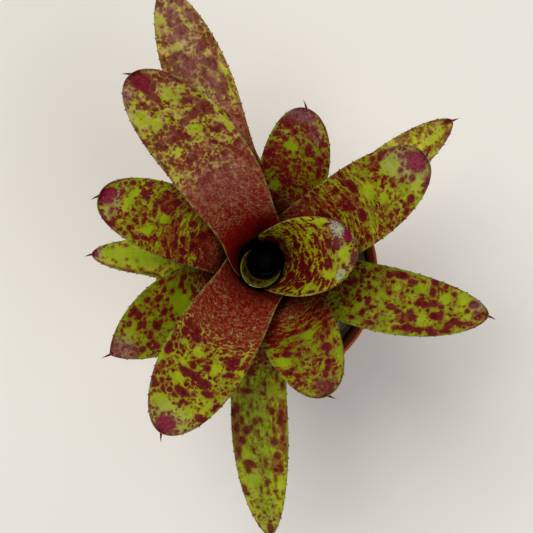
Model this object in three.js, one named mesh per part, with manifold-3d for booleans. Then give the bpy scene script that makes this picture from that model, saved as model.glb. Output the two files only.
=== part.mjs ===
// A spotted neoregelia, a small tank bromeliad, growing in a round plastic pot.
// Millimetres, +Z up. The origin is the middle of the pot's flat underside.
import * as THREE from "three";
import { mergeVertices } from "three/addons/utils/BufferGeometryUtils.js";
import Module from "manifold-3d";

const wasm = await Module();
wasm.setup();

// ---------------------------------------------------------------- driving dimensions

const POT = {
  height: 92,
  rimRadius: 54, // outside of the lip
  lip: 1.4, // the rim's thickness as seen from above
  baseRadius: 38, // outside of the foot
  wall: 1.6,
  floor: 1.8,
  bandHeight: 14, // the stacking band under the lip
  bandStep: 2.2, // how far that band stands out from the wall
  bandFlare: 0.8, // how much it widens up to the lip
  sides: 40,
};
// The pot rests on a middle pad and an outer ring, and drains through the raised ring between.
const FOOT = { pad: 12, ring: 6, raised: 1.5, bevel: 1 };
const DRAIN = { count: 6, radius: 4, ringRadius: 21.5, sides: 10 };

// The mix stands highest along the pot's wall and dips towards the stem.
const SOIL = { top: 80, dip: 6, bump: 0.5, gap: 0.5, sides: 40 };
const BARK = { count: 32, long: 9, wide: 6, thick: 3.4, tilt: 0.25, lift: 0.4, seed: 7 };

// The plant stands a little off the pot's middle.
const PLANT = { x: -1.3, y: 5.6 };
const STEM = { radius: 5.5, bottom: 58, top: 103, shoulder: 2.5, gap: 0.7, sides: 18 };
const ROOT = { count: 7, radius: 1.3, reach: 24, drop: 42, gap: 0.75, sides: 5, steps: 6 };

// Every leaf springs from the stem below `collar`, swells out into a sheath, and stands upright
// as it passes the collar. Each sheath there swells a little more than the one inside it.
const ROSETTE = { collar: 101, firstSwell: 1.5, nest: 2.05, crowding: 0.95 };
const LEAF = {
  thickness: 0.8,
  sheathHalfWidth: 27, // measured round the sheath
  widestWrap: THREE.MathUtils.degToRad(96), // how far a sheath reaches round, to each side
  waistAt: 0.32, // where the sheath ends and the blade is widest, as shares of the length
  widestAt: 0.6,
  footSteps: 6,
  bladeStep: 9,
  tipShares: [0.9, 0.6, 0.35, 0.17, 0.07], // of the taper, where its outline is drawn
  acrossSteps: 8,
  bluntTip: 0.7, // where the outline stops and the spine takes over
};
// Marginal teeth stand `spacing` apart, from a share of the blade's length up to near its tip,
// and are rooted in it by `sink`.
const TOOTH = {
  length: 1,
  width: 1.3,
  thickness: 0.55,
  sink: 0.7,
  lean: 0.6,
  spacing: 7,
  from: 0.4,
  tipGap: 5,
};
const SPINE = { length: 3.6, radius: 0.62, flat: 0.8, sink: 1.6, sides: 5 };

// From the youngest leaf at the heart to the oldest at the bottom, each about 137 degrees
// round from the last. Angles are in degrees, the rest in mm:
//   azimuth, sway   which way the leaf leaves the stem, and how far it has swung at its tip
//   hook            how far the end spine is bent to the side
//   reach, tip      the tip's distance from the plant's axis, and its height
//   slope           the midrib's slope at the tip
//   upright, arch   how strongly the midrib holds its first and its last direction
//   waist, half     half the blade's width above the sheath, and where it is widest
//   taper, point    the tip's length, and its form: 0.4 is blunt, 0.5 round, 1 a sharp point
//   channel         how far the margins stand above the midrib
const LEAVES = [
  { azimuth: 236, sway: 0, hook: 0, reach: 11.8, tip: 140, slope: 62, upright: 20, arch: 8,
    waist: 15, half: 14, taper: 16, point: 0.5, channel: 0 },
  { azimuth: 6.5, sway: 3, hook: 10, reach: 40.8, tip: 154, slope: -34, upright: 60, arch: 15,
    waist: 21, half: 19.5, taper: 24, point: 0.5, channel: 0 },
  { azimuth: 113, sway: 12.2, hook: 50, reach: 94.8, tip: 173, slope: 10, upright: 57, arch: 34,
    waist: 15.2, half: 18.1, taper: 36, point: 0.47, channel: 2 },
  { azimuth: 238, sway: 0.9, hook: 32, reach: 83.5, tip: 166, slope: 8, upright: 48, arch: 32,
    waist: 17.3, half: 18.7, taper: 36, point: 0.5, channel: 2 },
  { azimuth: 28, sway: 5, hook: 30, reach: 82, tip: 160, slope: 6, upright: 43, arch: 30,
    waist: 17, half: 18, taper: 36, point: 0.42, channel: 2 },
  { azimuth: 155, sway: 3, hook: 60, reach: 76.5, tip: 153, slope: 4, upright: 36.5, arch: 28,
    waist: 15.5, half: 16.5, taper: 34, point: 0.42, channel: 2 },
  { azimuth: 296.5, sway: -1, hook: 60, reach: 64.5, tip: 147, slope: 0, upright: 36, arch: 24,
    waist: 17, half: 17.8, taper: 30, point: 0.45, channel: 2 },
  { azimuth: 69.5, sway: 5, hook: 30, reach: 70, tip: 143, slope: 2, upright: 33, arch: 24,
    waist: 15, half: 15.8, taper: 26, point: 0.46, channel: 1.5 },
  { azimuth: 207.5, sway: 3.5, hook: -6, reach: 79.5, tip: 139, slope: 0, upright: 30, arch: 28,
    waist: 16, half: 17, taper: 36, point: 0.78, channel: 1.5 },
  { azimuth: 340, sway: 6.5, hook: -16, reach: 104, tip: 130, slope: -8, upright: 27, arch: 40,
    waist: 15, half: 15.5, taper: 50, point: 0.56, channel: 1.5 },
  { azimuth: 109, sway: 1.2, hook: 0, reach: 132.5, tip: 126, slope: -12, upright: 25, arch: 52,
    waist: 13.4, half: 15, taper: 50, point: 0.58, channel: 1.5 },
  { azimuth: 265.9, sway: 5.3, hook: 8, reach: 129, tip: 108, slope: -20, upright: 23, arch: 50,
    waist: 13, half: 13.4, taper: 58, point: 0.64, channel: 1.5 },
  { azimuth: 37, sway: 0, hook: -10, reach: 110, tip: 112, slope: -16, upright: 20, arch: 42,
    waist: 11, half: 10.5, taper: 40, point: 0.6, channel: 1.5 },
  { azimuth: 177.3, sway: 0, hook: 10, reach: 81.5, tip: 106, slope: -18, upright: 17, arch: 30,
    waist: 11, half: 9, taper: 38, point: 0.52, channel: 1 },
];

const COLOUR = { pot: 0x9c4a2a, soil: 0x3a3026, stem: 0x8f9a4a, leaf: 0x7d8420, inner: 0x74231c };
const INNER_LEAVES = 4; // how many of the youngest are flushed with red

// ---------------------------------------------------------------- helpers

// A closed three.js geometry as a solid that can be joined and cut.
function solidOf(geometry, matrix = new THREE.Matrix4()) {
  const bare = new THREE.BufferGeometry();
  bare.setAttribute("position", geometry.getAttribute("position").clone());
  if (geometry.index) bare.setIndex(geometry.index.clone());
  const merged = mergeVertices(bare.applyMatrix4(matrix), 1e-4);
  return new wasm.Manifold(
    new wasm.Mesh({
      numProp: 3,
      vertProperties: merged.attributes.position.array,
      triVerts: new Uint32Array(merged.index.array),
    }),
  );
}

function meshOf(solid, name, material) {
  const { vertProperties, triVerts } = solid.getMesh();
  const geometry = new THREE.BufferGeometry();
  geometry.setAttribute("position", new THREE.BufferAttribute(vertProperties, 3));
  geometry.setIndex(new THREE.BufferAttribute(triVerts, 1));
  geometry.computeVertexNormals();
  const mesh = new THREE.Mesh(geometry, material);
  mesh.name = name;
  return mesh;
}

function finish(color, roughness) {
  return new THREE.MeshStandardMaterial({ color, roughness, metalness: 0 });
}

// A profile of [radius, height] corners turned round the upright axis.
function turned(profile, sides) {
  const points = profile.map(([radius, height]) => new THREE.Vector2(radius, height));
  return new THREE.LatheGeometry(points, sides).rotateX(Math.PI / 2);
}

// The same draw of numbers from 0 to 1 each time.
function seeded(seed) {
  let state = seed;
  return () => {
    state = (state * 48271) % 2147483647;
    return state / 2147483647;
  };
}

// ---------------------------------------------------------------- pot

const BAND_FOOT = POT.height - POT.bandHeight;
const FLOOR_TOP = FOOT.raised + POT.floor;

// Outside radius of the pot's tapering wall at height z, below the band.
function wallRadius(z) {
  const underLip = POT.rimRadius - POT.bandStep - POT.bandFlare;
  return THREE.MathUtils.mapLinear(z, 0, POT.height, POT.baseRadius, underLip);
}

// Inside of the wall, from the floor up to the lip.
const POT_INSIDE = [
  [wallRadius(0) - POT.wall - FOOT.bevel, FLOOR_TOP],
  [wallRadius(5) - POT.wall, 5],
  [wallRadius(BAND_FOOT) - POT.wall, BAND_FOOT - 1],
  [wallRadius(BAND_FOOT) - POT.wall + POT.bandStep, BAND_FOOT + 1.5],
  [POT.rimRadius - POT.lip - 0.5, POT.height - 1],
];

function makePot() {
  const innerRing = POT.baseRadius - FOOT.bevel - FOOT.ring;
  const profile = [
    [0, 0],
    [FOOT.pad, 0],
    [FOOT.pad + FOOT.raised, FOOT.raised],
    [innerRing - FOOT.raised, FOOT.raised],
    [innerRing, 0],
    [POT.baseRadius - FOOT.bevel, 0],
    [POT.baseRadius, FOOT.bevel],
    [wallRadius(BAND_FOOT), BAND_FOOT],
    [wallRadius(BAND_FOOT) + POT.bandStep, BAND_FOOT + 1],
    [POT.rimRadius - 0.2, POT.height - 1.2],
    [POT.rimRadius, POT.height - 0.6],
    [POT.rimRadius - 0.5, POT.height],
    [POT.rimRadius - POT.lip, POT.height],
    ...POT_INSIDE.toReversed(),
    [0, FLOOR_TOP],
  ];
  let pot = solidOf(turned(profile, POT.sides));
  for (let i = 0; i < DRAIN.count; i++) {
    const angle = (i / DRAIN.count) * 2 * Math.PI;
    const hole = new THREE.CylinderGeometry(DRAIN.radius, DRAIN.radius, 12, DRAIN.sides);
    hole.rotateX(Math.PI / 2);
    hole.translate(DRAIN.ringRadius * Math.cos(angle), DRAIN.ringRadius * Math.sin(angle), 0);
    pot = pot.subtract(solidOf(hole));
  }
  return pot;
}

// ---------------------------------------------------------------- stem with its roots

// A point of root number `i`, a share of the way from the stem to the root's end.
function rootPoint(i, share, turn) {
  const angle = ((i + 0.3) / ROOT.count) * 2 * Math.PI + turn;
  const out = ROOT.reach * share;
  const z = STEM.bottom + 5 - ROOT.drop * share ** 1.6;
  return new THREE.Vector3(out * Math.cos(angle), out * Math.sin(angle), z);
}

// The short leafy stem and the wiry roots under it, swollen by `extra` when it is used
// to cut their places out of the potting mix.
function makeStem(extra = 0) {
  const radius = STEM.radius + extra;
  const profile = [
    [0, STEM.bottom - extra],
    [radius - STEM.shoulder, STEM.bottom - extra],
    [radius, STEM.bottom + STEM.shoulder],
    [radius, STEM.top - STEM.shoulder],
    [radius - STEM.shoulder, STEM.top],
    [0, STEM.top + 1],
  ];
  let stem = solidOf(turned(profile, STEM.sides));
  const section = new THREE.Shape().absarc(0, 0, ROOT.radius + extra, 0, 2 * Math.PI);
  const ring = new THREE.Shape(section.getSpacedPoints(ROOT.sides).slice(0, -1));
  for (let i = 0; i < ROOT.count; i++) {
    const end = 1 + extra / ROOT.drop;
    const route = [
      rootPoint(i, 0.12, 0),
      rootPoint(i, 0.45, 0.12),
      rootPoint(i, 0.75, -0.1),
      rootPoint(i, end, 0.1),
    ];
    const extrudePath = new THREE.CatmullRomCurve3(route);
    const options = { steps: ROOT.steps, extrudePath, bevelEnabled: false };
    stem = stem.add(solidOf(new THREE.ExtrudeGeometry(ring, options)));
  }
  return stem.translate([PLANT.x, PLANT.y, 0]);
}

// ---------------------------------------------------------------- potting mix

// Inside radius of the pot at height z.
function insideRadius(z) {
  const above = POT_INSIDE.findIndex(([, height]) => height > z);
  const [[r0, z0], [r1, z1]] = [POT_INSIDE[above - 1], POT_INSIDE[above]];
  return THREE.MathUtils.mapLinear(z, z0, z1, r0, r1);
}

// Height of the mix's top, `share` of the way out to the pot's wall.
function soilHeight(share) {
  return SOIL.top - SOIL.dip * (1 - share ** 2);
}

// How much its loose surface rises and falls about that height.
function unevenness(x, y) {
  const wave = Math.sin(x * 0.31) * Math.cos(y * 0.27) + 0.6 * Math.sin(x * 0.55 + y * 0.43);
  return SOIL.bump * wave;
}

function makeSoil() {
  const bottom = FLOOR_TOP + SOIL.gap;
  const rim = insideRadius(SOIL.top) - SOIL.gap;
  const side = POT_INSIDE.filter(([, z]) => z > bottom && z < SOIL.top);
  const geometry = turned(
    [
      [0, bottom],
      [POT_INSIDE[0][0] - SOIL.gap, bottom],
      ...side.map(([radius, z]) => [radius - SOIL.gap, z]),
      ...[1, 0.82, 0.64, 0.46, 0.26, 0].map((share) => [rim * share, SOIL.top]),
    ],
    SOIL.sides,
  );
  const p = geometry.getAttribute("position");
  for (let i = 0; i < p.count; i++) {
    const [x, y, z] = [p.getX(i), p.getY(i), p.getZ(i)];
    const share = Math.hypot(x, y) / rim;
    if (z > SOIL.top - 0.01 && share < 0.99) p.setZ(i, soilHeight(share) + unevenness(x, y));
  }
  let soil = solidOf(geometry);

  const draw = seeded(BARK.seed);
  const either = (most) => most * (2 * draw() - 1);
  for (let i = 0; i < BARK.count; i++) {
    const out = rim * (0.34 + 0.5 * Math.sqrt(draw()));
    const angle = draw() * 2 * Math.PI;
    const size = 0.6 + 0.5 * draw();
    const chip = new THREE.BoxGeometry(BARK.long * size, BARK.wide * size, BARK.thick * size);
    chip.rotateX(either(BARK.tilt));
    chip.rotateY(either(BARK.tilt));
    chip.rotateZ(either(Math.PI));
    const height = soilHeight(out / rim) + BARK.lift;
    chip.translate(out * Math.cos(angle), out * Math.sin(angle), height);
    soil = soil.add(solidOf(chip));
  }
  return soil.subtract(makeStem(ROOT.gap));
}

// ---------------------------------------------------------------- leaves

// A leaf as a patch of a bowl that stands round the plant's axis: its midrib runs from the
// stem down and out, up the sheath and out along the blade, and each point of the midrib
// is spread along the circle round the axis, so that leaves nest without touching.
class Leaf {
  constructor(spec, index) {
    this.spec = spec;
    const swell = ROSETTE.firstSwell + ROSETTE.nest * index ** ROSETTE.crowding;
    const stem = STEM.radius + STEM.gap;
    const foot = new THREE.EllipseCurve(stem, ROSETTE.collar, swell, swell, -Math.PI / 2, 0);
    const start = new THREE.Vector2(stem + swell, ROSETTE.collar);
    const end = new THREE.Vector2(spec.reach, spec.tip);
    const slope = THREE.MathUtils.degToRad(spec.slope);
    const hold = new THREE.Vector2(Math.cos(slope), Math.sin(slope)).multiplyScalar(spec.arch);
    const rise = start.clone().add(new THREE.Vector2(0, spec.upright));
    const blade = new THREE.CubicBezierCurve(start, rise, end.clone().sub(hold), end);
    this.midrib = new THREE.CurvePath();
    this.midrib.arcLengthDivisions = 400;
    this.midrib.add(foot);
    this.midrib.add(blade);
    this.footLength = foot.getLength();
    this.length = this.footLength + blade.getLength();
    this.sheathRadius = start.x;
    this.stations = this.makeStations();
  }

  // Half the leaf's width at distance s along the midrib.
  halfWidth(s, radius) {
    const { waist, half, taper, point } = this.spec;
    const share = (s - this.footLength) / (this.length - this.footLength);
    const narrowed = THREE.MathUtils.smoothstep(share, 0, LEAF.waistAt);
    const widened = THREE.MathUtils.smoothstep(share, LEAF.waistAt, LEAF.widestAt);
    const neck = THREE.MathUtils.lerp(LEAF.sheathHalfWidth, waist, narrowed);
    const strap = THREE.MathUtils.lerp(neck, half, widened);
    const left = THREE.MathUtils.clamp((this.length - s) / taper, 0, 1);
    const rounding = (1 - (1 - left) ** 2) ** point;
    return Math.min(strap * rounding, radius * LEAF.widestWrap);
  }

  // The middle surface at distance s along the midrib and v from -1 to 1 across.
  at(s, v) {
    const { azimuth, sway, reach, channel } = this.spec;
    const onRib = this.midrib.getPointAt(THREE.MathUtils.clamp(s / this.length, 0, 1));
    const outward = (onRib.x - this.sheathRadius) / (reach - this.sheathRadius);
    const out = THREE.MathUtils.clamp(outward, 0, 1);
    const turn = THREE.MathUtils.degToRad(azimuth + sway * out);
    const angle = turn + (v * this.halfWidth(s, onRib.x)) / onRib.x;
    const lift = channel * THREE.MathUtils.smoothstep(out, 0.05, 0.6) * v ** 2;
    return new THREE.Vector3(onRib.x * Math.cos(angle), onRib.x * Math.sin(angle), onRib.y + lift);
  }

  // Directions there: along the midrib, across the leaf, and out of its upper face.
  axes(s, v) {
    const step = 0.05;
    const s0 = Math.min(Math.max(s, step), this.length - LEAF.bluntTip);
    const along = this.at(s0 + step, v).sub(this.at(s0 - step, v)).normalize();
    const across = this.at(s0, v + step).sub(this.at(s0, v - step)).normalize();
    const up = new THREE.Vector3().crossVectors(along, across).normalize();
    across.crossVectors(up, along);
    return { along, across, up };
  }

  // Distances along the midrib at which the leaf's section is drawn, closest at the tip.
  makeStations() {
    const { taper } = this.spec;
    const foot = [...Array(LEAF.footSteps).keys()].map((i) => i / LEAF.footSteps);
    const tipStart = this.length - 0.9 * taper;
    const count = Math.max(2, Math.round((tipStart - this.footLength) / LEAF.bladeStep));
    const blade = [...Array(count).keys()].map((i) => i / count);
    return [
      ...foot.map((share) => share * this.footLength),
      ...blade.map((share) => THREE.MathUtils.lerp(this.footLength, tipStart, share)),
      ...LEAF.tipShares.map((share) => this.length - share * taper),
      this.length - LEAF.bluntTip,
    ];
  }

  // The leaf's blade and sheath as one closed sheet of even thickness.
  sheet() {
    const { stations } = this;
    const across = LEAF.acrossSteps;
    const row = across + 1;
    const faceSize = stations.length * row;
    const points = [];
    for (const side of [1, -1]) {
      for (const s of stations) {
        for (let j = 0; j <= across; j++) {
          const v = -1 + (2 * j) / across;
          const { up } = this.axes(s, v);
          points.push(this.at(s, v).addScaledVector(up, (side * LEAF.thickness) / 2));
        }
      }
    }
    const top = (i, j) => i * row + j;
    const under = (i, j) => faceSize + i * row + j;
    const faces = [];
    for (let i = 0; i + 1 < stations.length; i++) {
      for (let j = 0; j < across; j++) {
        faces.push(top(i, j), top(i + 1, j), top(i + 1, j + 1));
        faces.push(top(i, j), top(i + 1, j + 1), top(i, j + 1));
        faces.push(under(i, j), under(i + 1, j + 1), under(i + 1, j));
        faces.push(under(i, j), under(i, j + 1), under(i + 1, j + 1));
      }
      faces.push(top(i, 0), under(i, 0), under(i + 1, 0));
      faces.push(top(i, 0), under(i + 1, 0), top(i + 1, 0));
      faces.push(top(i, across), under(i + 1, across), under(i, across));
      faces.push(top(i, across), top(i + 1, across), under(i + 1, across));
    }
    const last = stations.length - 1;
    for (let j = 0; j < across; j++) {
      faces.push(top(0, j), top(0, j + 1), under(0, j + 1));
      faces.push(top(0, j), under(0, j + 1), under(0, j));
      faces.push(top(last, j), under(last, j + 1), top(last, j + 1));
      faces.push(top(last, j), under(last, j), under(last, j + 1));
    }
    const geometry = new THREE.BufferGeometry().setFromPoints(points);
    geometry.setIndex(faces);
    return solidOf(geometry);
  }

  // One small flat tooth on the margin at distance s, leaning towards the tip.
  tooth(s, side) {
    const after = this.stations.findIndex((station) => station > s);
    const [s0, s1] = [this.stations[after - 1], this.stations[after]];
    const [from, to] = [this.at(s0, side), this.at(s1, side)];
    const place = from.clone().lerp(to, (s - s0) / (s1 - s0));
    const along = to.sub(from).normalize();
    const { up } = this.axes(s, side);
    const outward = new THREE.Vector3().crossVectors(up, along).multiplyScalar(side);
    const point = outward.addScaledVector(along, TOOTH.lean).normalize();
    const flank = new THREE.Vector3().crossVectors(point, up).normalize();
    const face = new THREE.Vector3().crossVectors(flank, point);
    const whole = TOOTH.length + TOOTH.sink;
    const cone = new THREE.ConeGeometry(0.5, whole, 4, 1);
    cone.rotateY(Math.PI / 4);
    cone.scale(TOOTH.width * Math.SQRT2, 1, TOOTH.thickness * Math.SQRT2);
    cone.translate(0, whole / 2 - TOOTH.sink, 0);
    return solidOf(cone, new THREE.Matrix4().makeBasis(flank, point, face).setPosition(place));
  }

  // The spine that ends the leaf.
  spine() {
    const s = this.length - LEAF.bluntTip;
    const { along, across, up } = this.axes(s, 0);
    const whole = SPINE.length + SPINE.sink;
    const cone = new THREE.ConeGeometry(SPINE.radius, whole, SPINE.sides, 1);
    cone.scale(1, 1, SPINE.flat);
    cone.translate(0, whole / 2 - SPINE.sink, 0);
    cone.rotateZ(THREE.MathUtils.degToRad(this.spec.hook));
    const place = new THREE.Matrix4().makeBasis(across.clone().negate(), along, up);
    return solidOf(cone, place.setPosition(this.at(s, 0)));
  }

  solid() {
    let leaf = this.sheet().add(this.spine());
    const first = THREE.MathUtils.lerp(this.footLength, this.length, TOOTH.from);
    for (let s = this.length - TOOTH.tipGap; s > first; s -= TOOTH.spacing) {
      for (const side of [1, -1]) leaf = leaf.add(this.tooth(s, side));
    }
    return leaf.translate([PLANT.x, PLANT.y, 0]);
  }
}

// ---------------------------------------------------------------- the whole object

const bromeliad = new THREE.Group();
bromeliad.name = "potted_bromeliad";
bromeliad.add(meshOf(makePot(), "pot", finish(COLOUR.pot, 0.55)));
bromeliad.add(meshOf(makeSoil(), "potting_mix", finish(COLOUR.soil, 0.95)));
bromeliad.add(meshOf(makeStem(), "stem_and_roots", finish(COLOUR.stem, 0.7)));
LEAVES.forEach((spec, index) => {
  const name = `leaf_${String(index + 1).padStart(2, "0")}`;
  const colour = index < INNER_LEAVES ? COLOUR.inner : COLOUR.leaf;
  bromeliad.add(meshOf(new Leaf(spec, index).solid(), name, finish(colour, 0.4)));
});

export default bromeliad;
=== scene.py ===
"""A spotted neoregelia in its pot: leaves, stem, pot and potting mix, with their finishes."""

import math
import random
from typing import NamedTuple

import bpy
import numpy as np
from mathutils import Matrix, Vector, noise


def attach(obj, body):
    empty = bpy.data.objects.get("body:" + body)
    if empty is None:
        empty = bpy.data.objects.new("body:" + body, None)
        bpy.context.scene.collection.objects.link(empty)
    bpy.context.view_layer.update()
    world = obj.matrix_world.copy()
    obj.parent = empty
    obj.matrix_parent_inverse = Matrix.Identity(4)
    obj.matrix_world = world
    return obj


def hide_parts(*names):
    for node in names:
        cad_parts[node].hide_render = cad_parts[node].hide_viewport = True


bl_info = {
    "name": "Potted Spotted Bromeliad",
    "version": (1, 0, 0),
    "blender": (4, 5, 0),
    "location": "View3D > Sidebar > Bromeliad",
    "description": "Makes a spotted neoregelia, its pot and its potting mix",
    "category": "Add Mesh",
}

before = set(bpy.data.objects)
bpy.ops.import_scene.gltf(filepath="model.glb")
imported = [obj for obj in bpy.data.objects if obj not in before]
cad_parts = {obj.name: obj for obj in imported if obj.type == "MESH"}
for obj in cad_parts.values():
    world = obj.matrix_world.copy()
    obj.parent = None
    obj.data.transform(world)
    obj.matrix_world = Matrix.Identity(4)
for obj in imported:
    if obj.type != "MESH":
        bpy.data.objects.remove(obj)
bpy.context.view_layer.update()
MM = 0.001
SEED = 11
BLACK = (0.0, 0.0, 0.0)


# ------------------------------------------------------------------ sizes and colours


def length(name, description, default):
    """A length property, with its default in millimetres."""
    return bpy.props.FloatProperty(
        name=name, description=description, default=default * MM, unit="LENGTH", subtype="DISTANCE"
    )


def colour(name, description, red, green, blue):
    """A colour property, with its default as it looks on a screen, from 0 to 255."""
    shown = [x / 255 for x in (red, green, blue)]
    linear = [x / 12.92 if x <= 0.04045 else ((x + 0.055) / 1.055) ** 2.4 for x in shown]
    return bpy.props.FloatVectorProperty(
        name=name, description=description, default=linear, subtype="COLOR", size=3, min=0, max=1
    )


class PotSettings(bpy.types.PropertyGroup):
    """Sizes and colours of the pot."""

    height: length("Height", "From the foot to the lip", 92)
    rim_radius: length("Rim radius", "Outside of the lip", 54)
    lip: length("Lip", "Thickness of the rim", 1.4)
    base_radius: length("Base radius", "Outside of the foot", 38)
    wall: length("Wall", "Thickness of the wall", 1.6)
    floor: length("Floor", "Thickness of the floor", 1.8)
    band_height: length("Band height", "Of the stacking band under the lip", 14)
    band_step: length("Band step", "How far the band stands out from the wall", 2.2)
    band_flare: length("Band flare", "How much the band widens up to the lip", 0.8)
    foot_ring: length("Foot ring", "Width of the ring that the pot stands on", 6)
    foot_pad: length("Foot pad", "Radius of the middle pad", 12)
    foot_raised: length("Raised floor", "Height of the floor between ring and pad", 1.5)
    drain_radius: length("Drain hole", "Radius of a drain hole", 4)
    drain_ring: length("Drain ring", "Distance of the drain holes from the middle", 21.5)
    drain_count: bpy.props.IntProperty(name="Drain holes", description="Number of holes", default=6)
    sides: bpy.props.IntProperty(name="Sides", description="Faces round the pot", default=144)
    plastic: colour("Plastic", "Colour of the moulded plastic", 160, 54, 18)
    worn: colour("Worn plastic", "Colour where it is rubbed and dusty", 178, 84, 44)
    # darkened: the painted shade on the inside wall below the lip, not a stain in the plastic.
    darkened: colour("Stained plastic", "Colour of the damp inside", 46, 14, 8)


class MixSettings(bpy.types.PropertyGroup):
    """Sizes and colours of the potting mix."""

    top: length("Top", "Height of the mix along the pot's wall", 80)
    dip: length("Dip", "How much lower it lies in the middle", 6)
    gap: length("Gap", "Clearance to the pot", 0.5)
    bark_long: length("Bark length", "Of the largest chips", 9)
    bark_wide: length("Bark width", "Of the largest chips", 6)
    bark_thick: length("Bark thickness", "Of the largest chips", 3)
    bark_count: bpy.props.IntProperty(name="Bark", description="Number of chips", default=230)
    perlite_count: bpy.props.IntProperty(name="Perlite", description="Number of grains", default=150)
    soil: colour("Peat", "Colour of the peat", 104, 96, 66)
    bark: colour("Bark", "Colour of fresh bark", 150, 122, 84)
    bark_grey: colour("Weathered bark", "Colour of bark gone grey", 196, 194, 150)
    perlite: colour("Perlite", "Colour of the grains", 222, 218, 204)


class StemSettings(bpy.types.PropertyGroup):
    """Sizes and colours of the stem and the roots."""

    radius: length("Radius", "Of the stem", 5.5)
    bottom: length("Bottom", "Height of its lower end", 58)
    top: length("Top", "Height of its upper end", 103)
    root_radius: length("Root radius", "Of a root", 1.3)
    root_reach: length("Root reach", "How far a root spreads", 24)
    root_drop: length("Root drop", "How far a root goes down", 42)
    root_count: bpy.props.IntProperty(name="Roots", description="Number of roots", default=7)
    green: colour("Green", "Colour of the young stem", 128, 136, 70)
    brown: colour("Brown", "Colour of old leaf scars and roots", 82, 58, 36)


class LeafSettings(bpy.types.PropertyGroup):
    """Sizes and colours that all leaves share."""

    thickness: length("Thickness", "Of a leaf at its midrib", 0.8)
    margin: bpy.props.FloatProperty(
        name="Margin", description="Thickness of the margin as a share of that", default=0.45
    )
    tooth: length("Tooth", "Length of a marginal tooth", 1.1)
    tooth_spacing: length("Tooth spacing", "From one tooth to the next", 5.4)
    spine: length("Spine", "Length of the end spine", 4.2)
    lime: colour("Lime", "Ground colour in the light", 144, 160, 4)
    pale_lime: colour("Pale lime", "Ground colour of leaves that lie open", 178, 174, 40)
    olive: colour("Olive", "Ground colour of older tissue", 87, 107, 0)
    fresh: colour("Fresh green", "Ground colour of the greenest tissue", 92, 142, 16)
    bruise: colour("Bruise", "Ground colour where the spots show through", 126, 102, 12)
    thread: colour("Thread", "Ground colour between the islands of the flush", 160, 130, 84)
    brown: colour("Brown", "Stain round the spots", 98, 30, 6)
    maroon: colour("Maroon", "Colour of the spots", 72, 2, 6)
    purple: colour("Purple", "Colour of the duller spots", 86, 13, 28)
    red: colour("Red", "Flush towards the cup", 106, 10, 8)
    deep_red: colour("Deep red", "Flush inside the cup", 108, 3, 3)
    crimson: colour("Crimson", "Blotch under the end spine", 114, 14, 42)
    # film: the colour of the pale film of scales and of the painted sheen laid with it.
    film: colour("Film", "Thin bloom of scales on the blade", 198, 144, 114)
    # bloom_and_sheen: the mauve bloom of scales and the painted sky reflection on it.
    bloom_and_sheen: colour("Bloom", "Mauve bloom near the tips", 142, 108, 110)
    horn: colour("Horn", "Colour of the teeth and the end spine", 84, 14, 20)
    scurf: colour("Scurf", "Patches of pale scales", 154, 158, 146)
    pale_edge: colour("Pale edge", "Margin of the sheath", 156, 126, 76)
    under: colour("Underside", "Dull colour of the underside", 132, 158, 78)


class StageSettings(bpy.types.PropertyGroup):
    """The camera, the floor and the lights."""

    camera_x: length("Camera X", "Place of the camera", -0.24)
    camera_y: length("Camera Y", "Place of the camera", 3.65)
    camera_z: length("Camera Z", "Height of the camera", 633)
    lens: bpy.props.FloatProperty(name="Lens", description="Focal length in mm", default=75.17)
    floor: colour("Floor", "Colour of the floor", 221, 217, 209)


# ------------------------------------------------------------------ leaf shapes

PLANT = Vector((-1.3, 5.6, 0))  # the plant stands a little off the pot's middle
COLLAR = 101  # height at which the leaves stand upright round the stem
STEM_SIDE = 6.2  # where the leaves' feet begin
# The sheaths lie round each other: how far the youngest stands out from the stem's side, the
# room that each next one takes, and the power that crowds the outer ones a little.
FIRST_SWELL, NEST, CROWDING = 1.5, 2.05, 0.95
SHEATH_HALF_WIDTH = 27
WIDEST_WRAP = math.radians(96)  # how far round the stem a sheath may reach to each side
WAIST_AT, WIDEST_AT = 0.32, 0.6  # as shares of the leaf above its foot
FOOT_STEPS, BLADE_STEPS = 200, 600  # points along the two stretches of a midrib
RIPPLE = 0.35  # how far the margins wave up and down
RIPPLE_RUN = 7.3  # length of leaf that a radian of that wave takes
RIPPLE_SHIFT = 1.7  # radians from one leaf's wave to the next one's
SHORT_OF_TIP = 0.7  # directions are taken no nearer to the tip than this
HEART_LEAF, CUP_LEAF = 0, 1  # the rolled young leaf, and the leaf that makes the cup's side
FLUSHED = 4  # how many of the youngest leaves take the flushed finish


class LeafShape(NamedTuple):
    """The form of one leaf, in mm and degrees."""

    azimuth: float  # which way it leaves the stem
    sway: float  # how far it has swung at its tip
    hook: float  # how far the end spine is bent to the side
    reach: float  # the tip's distance from the plant's axis
    tip: float  # the tip's height
    slope: float  # the midrib's slope at the tip
    upright: float  # how strongly the midrib holds its first direction
    arch: float  # and its last one
    waist: float  # half the blade's width above the sheath
    half: float  # and where it is widest
    taper: float  # length of the tip
    point: float  # 0.4 is blunt, 0.5 round, 1 a sharp point
    channel: float  # how far the margins stand above the midrib


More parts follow.
